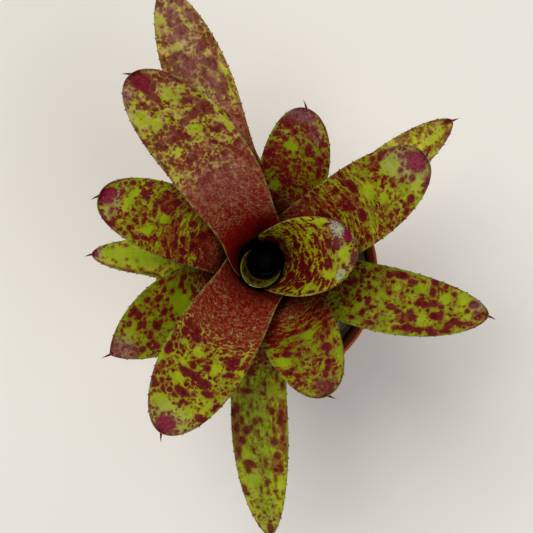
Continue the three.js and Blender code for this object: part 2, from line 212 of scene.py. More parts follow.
# From the youngest leaf at the heart to the oldest at the bottom. The columns are azimuth, sway,
# hook, reach, tip, slope, upright, arch, waist, half, taper, point and channel.
SHAPES = (
    LeafShape(236, 0, 0, 11.8, 140, 62, 20, 8, 15, 14, 16, 0.5, 0),
    LeafShape(6.5, 3, 10, 40.8, 154, -34, 60, 15, 21, 19.5, 24, 0.5, 0),
    LeafShape(113, 12.2, 50, 94.8, 173, 10, 57, 34, 15.2, 18.1, 36, 0.47, 2),
    LeafShape(238, 0.9, 32, 83.5, 166, 8, 48, 32, 17.3, 18.7, 36, 0.5, 2),
    LeafShape(28, 5, 30, 82, 160, 6, 43, 30, 17, 18, 36, 0.42, 2),
    LeafShape(155, 3, 60, 76.5, 153, 4, 36.5, 28, 15.5, 16.5, 34, 0.42, 2),
    LeafShape(296.5, -1, 60, 64.5, 147, 0, 36, 24, 17, 17.8, 30, 0.45, 2),
    LeafShape(69.5, 5, 30, 70, 143, 2, 33, 24, 15, 15.8, 26, 0.46, 1.5),
    LeafShape(207.5, 3.5, -6, 79.5, 139, 0, 30, 28, 16, 17, 36, 0.78, 1.5),
    LeafShape(340, 6.5, -16, 104, 130, -8, 27, 40, 15, 15.5, 50, 0.56, 1.5),
    LeafShape(109, 1.2, 0, 132.5, 126, -12, 25, 52, 13.4, 15, 50, 0.58, 1.5),
    LeafShape(265.9, 5.3, 8, 129, 108, -20, 23, 50, 13, 13.4, 58, 0.64, 1.5),
    LeafShape(37, 0, -10, 110, 112, -16, 20, 42, 11, 10.5, 40, 0.6, 1.5),
    LeafShape(177.3, 0, 10, 81.5, 106, -18, 17, 30, 11, 9, 38, 0.52, 1),
)


class Patch(NamedTuple):
    """A patch on a leaf with soft edges, in mm. `across` is to the left of the midrib when the
    leaf is seen from above with its tip up."""

    across: float
    from_tip: float
    wide: float  # half its size across the leaf
    long: float  # and along it
    amount: float = 1.0


class LeafMarks(NamedTuple):
    """How one leaf is coloured. Distances are in mm."""

    spots: float  # more or fewer loose spots than usual, as a change of their radius
    stain: float  # how much of the blade is stained brown, from -1 to 1
    flush: tuple  # the red flush is full up to the first distance from the axis, gone at the second
    streaks: float  # how much the marks run across the leaf, or along it below 0
    # film: the pale bloom of scales, with painted sheen in it.
    film: float  # pale bloom of scales
    old: float  # how dull the green has gone, or below 0 how pale it is
    dark_tip: float  # how far the dark tip margin reaches in
    faint: float = 0  # how much the ground shows through the spots
    dark: tuple = ()  # the large spots
    bare: tuple = ()  # patches with hardly a mark
    crimson: tuple = ()
    # dusty: patches of mauve bloom, partly painted sky reflection.
    dusty: tuple = ()  # patches with a mauve bloom
    scurf: tuple = ()


def patches(*rows):
    return tuple(Patch(*row) for row in rows)


MARKS = (
    # leaf_01, the rolled young leaf
    LeafMarks(spots=0.1, stain=0, flush=(0, 4), streaks=0.2, film=0, old=0.9, dark_tip=0),
    # leaf_02, beside the cup
    LeafMarks(
        spots=0.45, stain=-0.3, flush=(2, 6), streaks=1, film=0.05, old=0.15, dark_tip=3,
        dark=patches(
            (7, 17, 2.8, 0.9), (12, 10.5, 1, 2), (8.5, 10.5, 2, 0.6), (12, 15, 2, 0.8), (3, 13.5, 1.8, 0.8),
            (-0.5, 18, 2, 0.7), (-5, 17, 2, 0.7), (-6, 12.7, 1.6, 0.6), (-11.5, 18.5, 1.6, 0.7),
            (-12.5, 16.5, 2.2, 0.8), (-17, 18, 1, 2), (-3.9, 9.8, 0.8, 0.7), (-6.6, 7.7, 1, 0.9),
            (-5, 3, 3, 1.7), (7.5, 13.5, 2, 0.7),
        ),
        bare=patches((-3, 8, 3.5, 3.5), (-9, 13, 2.5, 2.5), (-15, 19, 3, 4), (13.5, 12, 2, 2)),
        crimson=patches((5.5, 4, 3, 2.2, 1.3), (3.5, 8, 2, 1.6, 0.6)),
        dusty=patches((4, 8, 4, 3, 0.4), (-6, 4, 4, 3, 0.5)),
        scurf=patches((9.5, 7.4, 4, 2.8), (-10.5, 8.5, 2.4, 1.8), (6, 1, 4, 0.8, 0.7)),
    ),
    # leaf_03
    LeafMarks(
        spots=0.38, stain=0.3, flush=(10, 80), streaks=0.15, film=0.62, old=0, dark_tip=8, faint=0.06,
        dark=patches(
            (-9, 20.5, 3.4, 1.6), (-3, 27.5, 3.5, 1.4), (-7.5, 26.5, 3, 1.5), (-12.5, 25, 3.4, 3),
            (4, 31.5, 3, 2.4), (9.5, 31, 4.6, 2.2), (1, 35, 1.2, 1.2), (3.5, 42, 4.6, 2.2),
            (-12, 36, 2.8, 2.4), (-14.5, 47, 2.4, 2.4), (-15.5, 53, 2.6, 3.6), (-8, 47, 2, 1.5),
            (6.5, 54, 2.6, 2.6), (16, 17.5, 1.6, 3), (17.5, 25, 1.8, 2.4), (17, 38, 1.4, 2),
            (0.5, 13, 1.6, 4), (-13, 9, 2.6, 5), (-15, 15, 1.8, 4),
        ),
        bare=patches(
            (12.5, 16, 4.2, 4.5), (-3.5, 33, 2.6, 2.4), (9, 37, 2.6, 1.8), (-16, 35.5, 1.6, 3.5),
            (15, 46, 2, 6), (-5, 15, 2, 2.4), (7.5, 22, 2, 2), (-12, 42, 3, 1.6),
        ),
        crimson=patches((0, 3.5, 4.5, 5.5, 0.9), (1.2, 11, 2, 4, 0.5)),
        dusty=patches((9, 5, 3.5, 3.5), (14, 11, 2.5, 5, 0.7), (0, 58, 12, 10, 0.3)),
    ),
    # leaf_04
    LeafMarks(
        spots=0.2, stain=0.2, flush=(12, 63), streaks=0.2, film=0.12, old=0.2, dark_tip=8,
        dark=patches(
            (-1, 19, 4.2, 1.8), (4, 20.5, 1, 1), (-4.5, 27, 3.4, 1.7), (0.5, 27.3, 3, 2),
            (5.5, 26.5, 3.6, 2), (-3, 31, 1.8, 1.6), (3, 33, 1.8, 1.8), (9, 23, 3, 1.6),
            (13, 34, 2.2, 1.4), (11.5, 40, 2.8, 3.2), (-16, 30, 2, 3), (-13.5, 40, 2, 2),
            (-12, 45, 3, 3), (-8, 41.5, 3, 2), (-14.5, 21, 2.2, 2.4), (-14, 15, 2, 2.6),
            (-11, 18, 1.2, 1.2), (15, 19, 1.6, 2), (11.5, 12.5, 3, 1.6), (-3.5, 16, 1.4, 1),
            (3, 15.5, 1, 1),
        ),
        bare=patches(
            (6, 34, 2.6, 2.6), (-6, 23, 3.4, 1.6), (5, 12, 3, 2.2), (-6, 11, 4, 2.4),
            (15, 50, 1.4, 9), (-17, 27, 1, 5), (-3, 36.5, 2.6, 2), (12, 19, 1.6, 1.4),
        ),
        crimson=patches((0.5, 3.5, 4, 4), (-3.5, 5, 3, 3, 0.4)),
        dusty=patches((0, 6, 9, 6, 0.5)),
    ),
    # leaf_05
    LeafMarks(
        spots=0.1, stain=0.25, flush=(10, 50), streaks=0.7, film=0.12, old=0.35, dark_tip=6,
        dark=patches(
            (7, 8.5, 1.6, 1.2), (6, 6, 1.5, 1.2), (9.5, 3.5, 1.2, 1.2), (11.5, 9.5, 1, 1.8),
            (12.5, 14, 1.2, 3), (10.5, 20, 2.2, 2.2), (2.2, 12, 1.3, 1.3), (-3.5, 9.5, 1.6, 1.6),
            (-1.5, 13.5, 1.3, 1.3), (-1, 18, 1.2, 1.2), (1.5, 17.5, 1, 1), (5, 23, 0.9, 0.9),
            (-9.5, 4.5, 2.4, 3), (-11.5, 7.5, 1.2, 1.2), (-10.5, 14, 2, 1.8), (-11, 17.5, 1.2, 1.2),
            (2.5, 38, 2.6, 3), (4.5, 41.5, 2.4, 2.4), (9, 33, 4, 2), (-4, 36, 3.4, 2),
        ),
        bare=patches((2.5, 28.5, 3, 2.6), (5.5, 15, 4, 3.4), (-6.5, 8, 2.4, 3), (-3, 24, 2, 1.6)),
        crimson=patches((0.5, 4, 4, 4.5, 1.2), (3.5, 5, 3, 2.4, 0.5)),
        dusty=patches((6, 12, 6, 5, 0.6), (0, 5, 8, 6, 0.7)),
    ),
    # leaf_06
    LeafMarks(
        spots=0.2, stain=0.45, flush=(12, 42), streaks=0.5, film=0.05, old=0.45, dark_tip=6,
        dark=patches(
            (-10, 10.5, 1.4, 1.4), (4.3, 7, 2, 1), (8, 9, 1.5, 1), (6, 11, 1, 1), (-7.5, 17, 1.8, 1.6),
            (-6, 19, 1.3, 1.3), (5, 18, 1.3, 1.3), (4.7, 21.5, 1.5, 1), (9, 16.5, 1.5, 1.2),
            (12, 15, 1.2, 1), (-0.5, 24.5, 1.2, 1), (-8, 27, 4, 3), (-8.5, 31, 2, 2),
            (3, 27.5, 0.8, 0.8), (12, 20, 1.2, 2), (11, 24, 1.2, 2), (9.5, 28.5, 1.2, 1.6),
            (10, 8, 1.2, 3),
        ),
        bare=patches((-3, 12.8, 6, 1.6), (7, 24, 3, 2), (0, 30, 2, 2)),
        crimson=patches((-1, 3, 4, 3.5, 1.1), (-3, 4.5, 2, 2, 0.8), (-4.5, 8.3, 2.2, 0.8, 1.3)),
        dusty=patches((2, 6, 6, 3, 0.7)),
    ),
    # leaf_07
    LeafMarks(
        spots=0.1, stain=0.3, flush=(12, 42), streaks=0.85, film=0.02, old=0.8, dark_tip=6,
        dark=patches(
            (6.5, 12.5, 1.7, 1.7), (5, 10.5, 1.5, 1.5), (3, 8.5, 1.5, 1.5), (8, 8.5, 0.9, 0.9),
            (8, 19, 2.5, 1.6), (9.2, 17.5, 1.5, 1.5), (8.5, 23, 1.2, 1.8), (13, 18, 1, 1.2),
            (7.5, 16, 1.1, 1.1), (2.5, 17.7, 0.7, 0.7), (0, 14.8, 0.8, 0.8), (-1.3, 11, 1.2, 0.8),
            (-4.8, 12.3, 1.5, 0.8), (-8.5, 12.5, 1.4, 1.2), (-9.5, 16, 1.3, 1), (-12.5, 15, 2, 1.4),
            (-8.8, 9, 2.4, 1), (-9, 23, 2.2, 1.6), (-13.5, 23.5, 1.5, 1.2), (-4.5, 21.5, 1.8, 1.2),
            (-7.5, 25.5, 2, 1), (-3, 23.5, 1.2, 0.9), (-0.8, 22.7, 0.8, 1), (-3, 27, 0.7, 0.7),
            (-12.5, 28, 2, 1), (-2, 32, 2.5, 1.4), (4.5, 31, 2.2, 1.2), (12, 23, 1.4, 1.2),
            (12.5, 27, 1.6, 2),
        ),
        bare=patches((-11.5, 20, 3, 2), (4.5, 28, 4, 1.6), (12.5, 13, 2, 2.5)),
        crimson=patches((0, 3, 5, 4, 0.65), (3, 4, 3, 3, 0.2), (-1.5, 8, 2, 2, 0.4)),
        dusty=patches((1, 5, 7, 4, 0.15)),
    ),
    # leaf_08
    LeafMarks(
        spots=0.35, stain=0.4, flush=(14, 46), streaks=0.4, film=0.02, old=1, dark_tip=6,
        dark=patches(
            (9, 7.5, 1.8, 1.4), (6.5, 9, 2.2, 1.5), (11, 13, 2.2, 1.4), (3.5, 11, 1.8, 1.4),
            (0.5, 7.5, 1.5, 1), (-4.5, 7, 2, 1), (-9.5, 11.8, 1.4, 1.3), (7.5, 14.5, 1.2, 1.1),
            (1.7, 14, 1.2, 0.8), (-4, 17, 1.6, 3.2), (11.5, 19, 3.5, 2.4), (13, 22, 2.5, 2),
            (5, 21, 0.9, 0.9), (0.6, 19.7, 0.9, 0.9), (-6, 18.5, 1, 1), (-10.5, 19, 2, 1.6),
            (-11, 24, 1.4, 3.5), (4.5, 25, 2.2, 1.3), (8.5, 27, 1.7, 0.8), (13, 28, 2.6, 1.6),
            (7, 30, 1.2, 1.1), (-6.5, 24, 1.5, 1.2), (2.5, 33, 2.2, 3), (-1.5, 29.5, 0.8, 0.8),
            (11, 36, 1.6, 1.4), (-7, 34, 1.2, 1.1), (-7.5, 40, 3, 1.6), (-0.5, 38, 1, 1),
            (5.5, 42, 2, 1.2), (2, 4, 5.5, 3.6), (-4, 10, 3, 2.4),
        ),
        bare=patches((4, 17.5, 3, 1.8), (7.5, 37, 3, 2.4)),
        crimson=patches((1, 3.5, 4.5, 3, 0.5)),
        dusty=patches((2, 3, 6, 3.5, 0.95), (-6, 9, 3, 4, 0.5)),
    ),
    # leaf_09
    LeafMarks(
        spots=-0.1, stain=0.2, flush=(16, 44), streaks=0.1, film=0.02, old=0.7, dark_tip=6,
        dark=patches(
            (-6.5, 13.5, 1.3, 1.6), (-7, 11, 0.8, 0.8), (-4.5, 9, 0.8, 0.8), (-9.5, 15.5, 1.2, 1.2),
            (-10, 18, 2, 1.6), (-7, 19, 2, 1.8), (-11, 25, 1.4, 1.6), (-8.5, 26, 1, 1), (-3, 20, 1, 1),
            (-5.5, 23.7, 1, 1), (-4, 25, 0.5, 0.5), (-2.5, 17, 1, 2), (1, 24, 2.4, 2), (0.5, 27, 1, 1),
            (2.5, 20, 1.6, 1.2), (-2.5, 30, 1.6, 1.8), (-2, 33.5, 1, 1), (-9, 30, 1.6, 1.8),
            (-11, 33.5, 1.4, 1.4), (-8.5, 37, 1.2, 1.2), (-13, 29, 0.7, 0.7), (-15, 33, 1.5, 1.5),
            (-14, 38, 0.8, 2.5), (-9, 42, 1.8, 1.4), (-11.5, 44, 1.6, 2), (-5.5, 42.5, 1.2, 1.2),
            (-4, 47, 2.5, 1.2), (2.5, 32, 1.4, 1), (6.5, 13, 1.6, 1.5), (8.5, 19, 2, 1.4),
            (1, 4, 5, 4), (4, 9, 3.5, 3),
        ),
        bare=patches((-3.5, 13, 3, 2.5), (-2, 38, 5, 4)),
        dusty=patches((1.5, 5, 6, 5.5, 0.8)),
    ),
    # leaf_10
    LeafMarks(
        spots=-0.02, stain=0.2, flush=(14, 48), streaks=0, film=0.16, old=0.4, dark_tip=5,
        dark=patches(
            (4.5, 7.5, 2, 2.6), (1.3, 10, 1.3, 1.2), (-0.5, 3, 2.2, 2.6), (8.1, 17.2, 1.3, 1.3),
            (1.6, 21.9, 1.2, 1.5), (4.8, 16.5, 0.6, 0.6), (3, 14, 0.5, 0.5), (0.6, 16.8, 0.5, 0.5),
            (-4.5, 8, 1.1, 3), (-4.2, 14.7, 2, 2), (-6.5, 16.5, 2, 2), (-5, 12, 1.4, 1.6),
            (-9.5, 17.5, 1, 3), (-11.2, 22, 1.4, 2.4), (-3, 23, 2, 3.4), (-1.5, 21.2, 1.2, 1.5),
            (-9.5, 24, 1.3, 2), (12.5, 26.5, 2.4, 2.4), (7.5, 27, 2.4, 1.6), (11, 21.5, 1.3, 1.2),
            (9.5, 24, 0.8, 1), (13, 20, 0.8, 3), (2.5, 25.5, 1.8, 2), (1.5, 29, 1.6, 2.2),
            (1.5, 32.5, 1.7, 1.7), (3.8, 31, 1, 1.4), (5.5, 31.5, 0.8, 1.4), (10.5, 36.5, 1.5, 2.2),
            (12.5, 42, 2, 3.6), (11.5, 47.5, 2, 1.6), (12.5, 53, 1, 1.5), (3.5, 45.8, 1.4, 1.4),
            (6, 47.5, 1, 1), (7.5, 49.5, 1.1, 1), (4.5, 40.5, 1.2, 1), (1, 36.3, 0.9, 0.9),
            (2.2, 40, 0.8, 0.8), (-2.5, 43.5, 1.6, 2.2), (-3, 34.5, 1.6, 1.4), (-4, 40, 1.5, 1.5),
            (-6.5, 36.5, 2.4, 2.4), (-5.5, 33, 2, 1.8), (-10.5, 33.5, 2, 2.8), (-10.5, 28.5, 1.4, 2.4),
            (-11.5, 38, 1.2, 1.5), (-8.5, 48, 1.7, 1.2), (-5.5, 46, 1, 1), (-4.8, 51.8, 1.4, 1.2),
            (-8, 54.5, 2, 1.4), (-12, 49.5, 1.3, 2.8), (-6.5, 60, 1, 0.8), (-11.5, 57.5, 1.2, 1.5),
            (-2.2, 54, 2.4, 1.3), (1, 59.5, 1.2, 1), (3, 52, 0.8, 0.8), (-2.5, 58, 1.5, 1.4),
            (-5, 65, 1.2, 1.2), (6, 59.5, 1.4, 1), (10.5, 59, 1.5, 1.5), (8.5, 54, 1, 1),
            (5.5, 62.5, 1.5, 1.5), (3.5, 64.5, 1.5, 1.5),
        ),
        bare=patches(
            (8, 32.5, 2.4, 2.4), (5.5, 20.5, 2, 1.5), (6.5, 12.5, 2.5, 2.5), (-5, 29, 2.2, 1.4),
            (-3, 18.2, 1, 1), (1.5, 49, 1.5, 3), (-5, 56.5, 2.5, 2.5),
        ),
        dusty=patches((4, 6, 3, 3, 0.8)),
    ),
    # leaf_11
    LeafMarks(
        spots=0.4, stain=0.6, flush=(50, 90), streaks=-0.3, film=0.8, old=-0.3, dark_tip=6, faint=0.12,
        dark=patches(
            (1.5, 14, 2.4, 3.4), (0, 22, 3, 3.4), (3, 17, 1.5, 2), (-6.5, 15.5, 1.7, 3.4),
            (-4.5, 8.5, 2, 2.4), (-8.5, 19.5, 1.2, 2), (-11.5, 30.5, 0.9, 2), (-11, 35.5, 1.4, 2),
            (-6.5, 31.5, 2.2, 2.5), (-8.5, 28.5, 1.4, 1.4), (4.8, 9.5, 1.2, 1.2), (7, 16.8, 1.2, 0.8),
            (8.5, 21.5, 1, 1), (5.2, 23.5, 1.7, 2.8), (9, 25, 1, 1.6), (6, 31.5, 3, 1.8),
            (2.6, 33.5, 2, 1.8), (1, 36, 3.4, 2.4), (11.5, 31, 1, 1), (9.5, 33.5, 2.4, 1.5),
            (-8.5, 40, 2.1, 4), (-6, 38, 2, 1.8), (-3.5, 42, 1.4, 2.4), (-3, 44.5, 1.2, 1.2),
            (4.5, 40.5, 2.4, 2), (7.5, 37, 2, 1.8), (9.5, 40.5, 1.5, 2), (-5.5, 47.5, 2.4, 3.6),
            (-10.5, 49, 1.4, 4.6), (-8, 52, 2, 3),
        ),
        bare=patches(
            (7, 13, 2.2, 5), (2, 27.5, 3.2, 1.8), (9, 28, 1.8, 1.8), (-4.8, 20.5, 1.2, 1.4),
            (-8, 34.5, 1.4, 1.6), (-5.5, 44.5, 2.2, 1.4), (-11.5, 43.5, 1.2, 3.6), (4.5, 28.5, 1.7, 1.4),
            (-11.5, 57, 1, 3.6),
        ),
        dusty=patches((0, 16, 9, 14, 0.5), (0, 44, 9, 18, 0.5)),
    ),
    # leaf_12
    LeafMarks(
        spots=-0.4, stain=0.25, flush=(30, 62), streaks=-0.32, film=0.28, old=-0.12, dark_tip=4, faint=0.12,
        dark=patches(
            (1, 4, 1.7, 3.2), (-1, 12.8, 0.8, 1), (3.3, 16, 0.7, 1.2), (-3.8, 15.5, 1.1, 0.8),
            (-1.8, 19, 0.7, 1), (6.3, 20, 0.7, 0.7), (2, 23, 0.7, 1.4), (-1.3, 24.5, 0.7, 2),
            (1.5, 27.5, 1, 1.8), (2.3, 28.6, 1, 1.2), (5.3, 23.3, 1, 1.2), (5.8, 29.5, 0.7, 1.8),
            (-9.2, 24, 1.3, 2.8), (-7.5, 22, 1, 1), (1.9, 37.5, 0.9, 2.6), (0.3, 33.5, 0.6, 1.2),
            (-0.6, 39, 0.6, 1.2), (7, 36, 2.8, 3.6), (7.6, 41, 2, 1.8), (9, 34, 1.2, 1.5),
            (6.5, 47.5, 2.1, 1.8), (10.3, 48.8, 1.2, 1.5), (11, 51.5, 1, 1.2), (3.3, 51, 0.9, 1.2),
            (1, 48.8, 0.6, 0.6), (-6, 37, 3.2, 1.8), (-3.5, 36, 1.2, 1.4), (-6.5, 33.8, 1.4, 1.8),
            (-10.3, 42, 1, 2.4), (-3.3, 43.5, 0.8, 1.5), (-13.5, 47, 1, 1.4), (-8.3, 47.5, 2, 2),
            (-6.2, 52.5, 2.1, 2.1), (-3.8, 54, 1, 1.5), (-0.8, 52, 0.7, 1.2), (-10.8, 53, 1.4, 2.6),
            (-2, 57, 1.4, 1.8), (0.2, 57.8, 1, 1.2), (-8, 57, 1, 2), (6, 61.5, 1.5, 2),
            (6.8, 53, 0.8, 2.4), (9.8, 57.5, 1.2, 2.8), (4, 63.5, 0.8, 1.5), (-12.8, 60, 2, 2.5),
            (-10.3, 62.5, 1.6, 2.4), (-5.3, 60, 0.8, 1.5), (-3.8, 64, 0.8, 1.5), (1.6, 70, 1.4, 1),
            (2.8, 74, 0.8, 1.5), (-6, 70.5, 2.8, 1.5), (8.3, 77, 0.8, 2.5), (-5, 74.5, 0.8, 2.4),
            (-3.5, 79.5, 2, 2), (-11.5, 73.5, 2.4, 2.8), (11, 73, 1, 2.4), (-11.5, 44, 2.3, 5),
            (-11.5, 56, 2.4, 6), (11, 60, 2.3, 6), (11, 46, 2.2, 4),
        ),
        bare=patches(
            (3, 43.5, 3, 1.5), (-7, 41.5, 2.2, 2), (-5.8, 29, 3, 2.8), (-13, 43.5, 1, 3.6),
            (7.5, 27, 1.2, 3.4),
        ),
    ),
    # leaf_13
    LeafMarks(
        spots=-0.3, stain=0.9, flush=(10, 20), streaks=0, film=0.4, old=-0.45, dark_tip=6, faint=0.3,
        dark=patches(
            (1.2, 2.2, 1.6, 2.6), (-3.5, 5.5, 0.9, 2.6), (2, 12.6, 1.5, 1), (3.4, 18.4, 1.2, 0.7),
            (8, 17.3, 0.8, 1), (7.4, 22.5, 0.8, 1.8), (1.6, 5.4, 0.6, 0.6), (-4.5, 8.4, 0.9, 0.8),
            (-5.4, 13.9, 0.6, 1.4), (-4, 18, 1, 2.4), (5, 15.8, 0.6, 1.4), (-6.5, 24, 1.4, 1.4),
        ),
        bare=patches((0, 8.5, 2.6, 2.6), (-1.5, 14, 2.4, 3)),
    ),
    # leaf_14, the oldest
    LeafMarks(
        spots=-0.75, stain=0.1, flush=(10, 20), streaks=0, film=0.2, old=-0.4, dark_tip=5, faint=0.2,
        dark=patches(
            (-6.5, 11, 0.8, 1.8), (-4, 10.5, 0.7, 0.7), (-5, 17, 0.8, 1.2), (5.4, 10.5, 0.8, 1.8),
            (6.8, 17, 0.8, 3.6), (7.2, 20.8, 0.7, 1), (5.2, 19, 0.7, 0.7), (5.9, 25, 0.7, 1.2),
            (7.6, 27.5, 0.8, 2.8), (8, 31, 0.7, 0.8), (2.2, 10.8, 0.6, 0.6), (3.2, 12.5, 0.6, 0.6),
            (1.8, 17.8, 0.6, 0.6), (2.2, 22.8, 0.6, 0.5),
        ),
        bare=patches((-1, 26, 5.5, 8, 1.6), (0, 13, 3.6, 5, 1.3)),
        crimson=patches((-0.5, 1.4, 1.9, 2.1, 1.2)),
        dusty=patches((0, 3.2, 2.4, 2.2)),
    ),
)


def smooth(x, low, high):
    """0 up to low and 1 from high on, with a soft rise between. With low above high it falls."""
    t = np.clip((x - low) / (high - low), 0, 1)
    return t * t * (3 - 2 * t)


def blend(share, a, b):
    """From a, at a share of 0, to b, at 1."""
    return a + (b - a) * share


class Leaf:
    """A leaf's middle surface: its midrib rises round the plant's axis, and every point of it
    is spread along the circle round that axis, so that the sheaths nest."""

    def __init__(self, index):
        self.index = index
        self.shape = SHAPES[index]
        self.marks = MARKS[index]
        shape = self.shape
        swell = FIRST_SWELL + NEST * index**CROWDING
        self.sheath_radius = STEM_SIDE + swell
        turn = np.linspace(-math.pi / 2, 0, FOOT_STEPS)
        foot = np.column_stack([STEM_SIDE + swell * np.cos(turn), COLLAR + swell * np.sin(turn)])
        start = np.array([self.sheath_radius, COLLAR])
        end = np.array([shape.reach, shape.tip])
        slope = math.radians(shape.slope)
        hold = shape.arch * np.array([math.cos(slope), math.sin(slope)])
        corners = [start, start + [0, shape.upright], end - hold, end]
        t = np.linspace(0, 1, BLADE_STEPS)[:, None]
        weights = [(1 - t) ** 3, 3 * t * (1 - t) ** 2, 3 * t**2 * (1 - t), t**3]
        blade = sum(weight * corner for weight, corner in zip(weights, corners))
        self.rib = np.vstack([foot, blade[1:]])
        steps = np.linalg.norm(np.diff(self.rib, axis=0), axis=1)
        self.distance = np.concatenate([[0], np.cumsum(steps)])
        self.foot_length = swell * math.pi / 2
        self.length = self.distance[-1]

    def radius(self, s):
        return np.interp(s, self.distance, self.rib[:, 0])

    def height(self, s):
        return np.interp(s, self.distance, self.rib[:, 1])

    def half_width(self, s):
        shape = self.shape
        share = (s - self.foot_length) / (self.length - self.foot_length)
        neck = blend(smooth(share, 0, WAIST_AT), SHEATH_HALF_WIDTH, shape.waist)
        strap = blend(smooth(share, WAIST_AT, WIDEST_AT), neck, shape.half)
        left = np.clip((self.length - s) / shape.taper, 0, 1)
        rounding = (1 - (1 - left) ** 2) ** shape.point
        return np.minimum(strap * rounding, self.radius(s) * WIDEST_WRAP)

    def at(self, s, v):
        """Points at distance s along the midrib and v, from -1 to 1, across the leaf."""
        shape = self.shape
        s, v = np.broadcast_arrays(np.asarray(s, float), np.asarray(v, float))
        radius = self.radius(s)
        out = np.clip((radius - self.sheath_radius) / (shape.reach - self.sheath_radius), 0, 1)
        turn = np.radians(shape.azimuth + shape.sway * out)
        angle = turn + v * self.half_width(s) / radius
        lift = shape.channel * smooth(out, 0.05, 0.6) * v**2
        wave = np.sin(s / RIPPLE_RUN + 2 * v + RIPPLE_SHIFT * self.index)
        ripple = RIPPLE * smooth(out, 0.2, 0.7) * v**2 * wave
        height = self.height(s) + lift + ripple
        return np.stack([radius * np.cos(angle), radius * np.sin(angle), height], -1) + PLANT

    def axes(self, s, v):
        """Unit directions there: along the midrib, across the leaf and out of its upper face."""
        step = 0.05
        s = min(max(s, step), self.length - SHORT_OF_TIP)
        along = Vector(self.at(s + step, v) - self.at(s - step, v)).normalized()
        across = Vector(self.at(s, v + step) - self.at(s, v - step)).normalized()
        up = along.cross(across).normalized()
        return along, up.cross(along), up


# ------------------------------------------------------------------ modelling helpers


def start_clean():
    """Object mode with nothing selected, so that the next operator acts on its own piece alone."""
    if bpy.context.mode != "OBJECT":
        bpy.ops.object.mode_set(mode="OBJECT")
    bpy.ops.object.select_all(action="DESELECT")


def take(piece):
    """Makes the piece the only one selected, and the active one."""
    start_clean()
    piece.select_set(True)
    bpy.context.view_layer.objects.active = piece
    return piece


def named(name):
    """Names the piece that was just added, and its mesh."""
    piece = bpy.context.object
    piece.name = name
    piece.data.name = name
    return piece


def settle(piece):
    """Puts the piece's place, turn and size into its mesh."""
    take(piece)
    bpy.ops.object.transform_apply(location=True, rotation=True, scale=True)
    return piece


def add_modifier(piece, kind, **settings):
    """Adds one modifier and applies it."""
    take(piece)
    modifier = piece.modifiers.new(kind.title(), kind)
    for key, value in settings.items():
        setattr(modifier, key, value)
    bpy.ops.object.modifier_apply(modifier=modifier.name)


def turned(name, profile, sides):
    """A round piece raised ring by ring: profile holds (radius, height) from the rim of its
    underside to the rim of its last, closed face."""
    start_clean()
    radius, height = profile[0]
    bpy.ops.mesh.primitive_circle_add(
        vertices=sides, radius=radius, location=(0, 0, height), fill_type="NGON"
    )
    piece = settle(named(name))
    bpy.ops.object.mode_set(mode="EDIT")
    bpy.ops.mesh.select_all(action="SELECT")
    bpy.ops.mesh.flip_normals()
    bpy.ops.mesh.select_mode(type="EDGE")
    for next_radius, next_height in profile[1:]:
        bpy.ops.mesh.extrude_edges_move(
            TRANSFORM_OT_translate={"value": (0, 0, next_height - height)}
        )
        scale = next_radius / radius
        bpy.ops.transform.resize(value=(scale, scale, 1))
        radius, height = next_radius, next_height
    bpy.ops.mesh.edge_face_add()
    bpy.ops.mesh.select_all(action="SELECT")
    bpy.ops.mesh.normals_make_consistent(inside=False)
    bpy.ops.object.mode_set(mode="OBJECT")
    return piece


def coordinates(mesh):
    points = np.empty(len(mesh.vertices) * 3)
    mesh.vertices.foreach_get("co", points)
    return points.reshape(-1, 3)


def place_points(mesh, points):
    mesh.vertices.foreach_set("co", np.asarray(points, float).ravel())
    mesh.update()


def write_values(mesh, name, values):
    """Stores one number for each point, which the finishes read by name."""
    layer = mesh.attributes.get(name) or mesh.attributes.new(name, "FLOAT", "POINT")
    layer.data.foreach_set("value", np.asarray(values, np.float32))


def write_vectors(mesh, name, vectors):
    layer = mesh.attributes.get(name) or mesh.attributes.new(name, "FLOAT_VECTOR", "POINT")
    layer.data.foreach_set("vector", np.asarray(vectors, np.float32).ravel())


def read_values(mesh, name):
    values = np.empty(len(mesh.vertices), np.float32)
    mesh.attributes[name].data.foreach_get("value", values)
    return values.astype(float)


def scatter(name, templates, places):
    """One piece holding a copy of a template at each place, a (template number, matrix) pair."""
    points, faces, count = [], [], 0
    for number, matrix in places:
        mesh = templates[number]
        points.extend(matrix @ vertex.co for vertex in mesh.vertices)
        faces.extend([count + i for i in face.vertices] for face in mesh.polygons)
        count += len(mesh.vertices)
    mesh = bpy.data.meshes.new(name)
    mesh.from_pydata(points, [], faces)
    piece = bpy.data.objects.new(name, mesh)
    bpy.context.collection.objects.link(piece)
    return piece


def keep_mesh(piece):
    """The mesh of a piece that was only a pattern for copies, without its object."""
    mesh = piece.data
    bpy.data.objects.remove(piece)
    return mesh


def smooth_shaded(piece, angle):
    take(piece)
    bpy.ops.object.shade_smooth_by_angle(angle=math.radians(angle))


def finish_piece(piece, material, slot, *nodes):
    """Gives a piece its finish and its place in the object."""
    piece.data.materials.clear()
    piece.data.materials.append(material)
    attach(piece, "root")
    if nodes:
        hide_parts(*nodes)


# ------------------------------------------------------------------ finishes


NODE_SPACING, NODES_LEFT = 200, 40  # how the nodes are laid out round the shader
CELL_SMOOTHNESS = 0.25  # how softly neighbouring cells run into each other


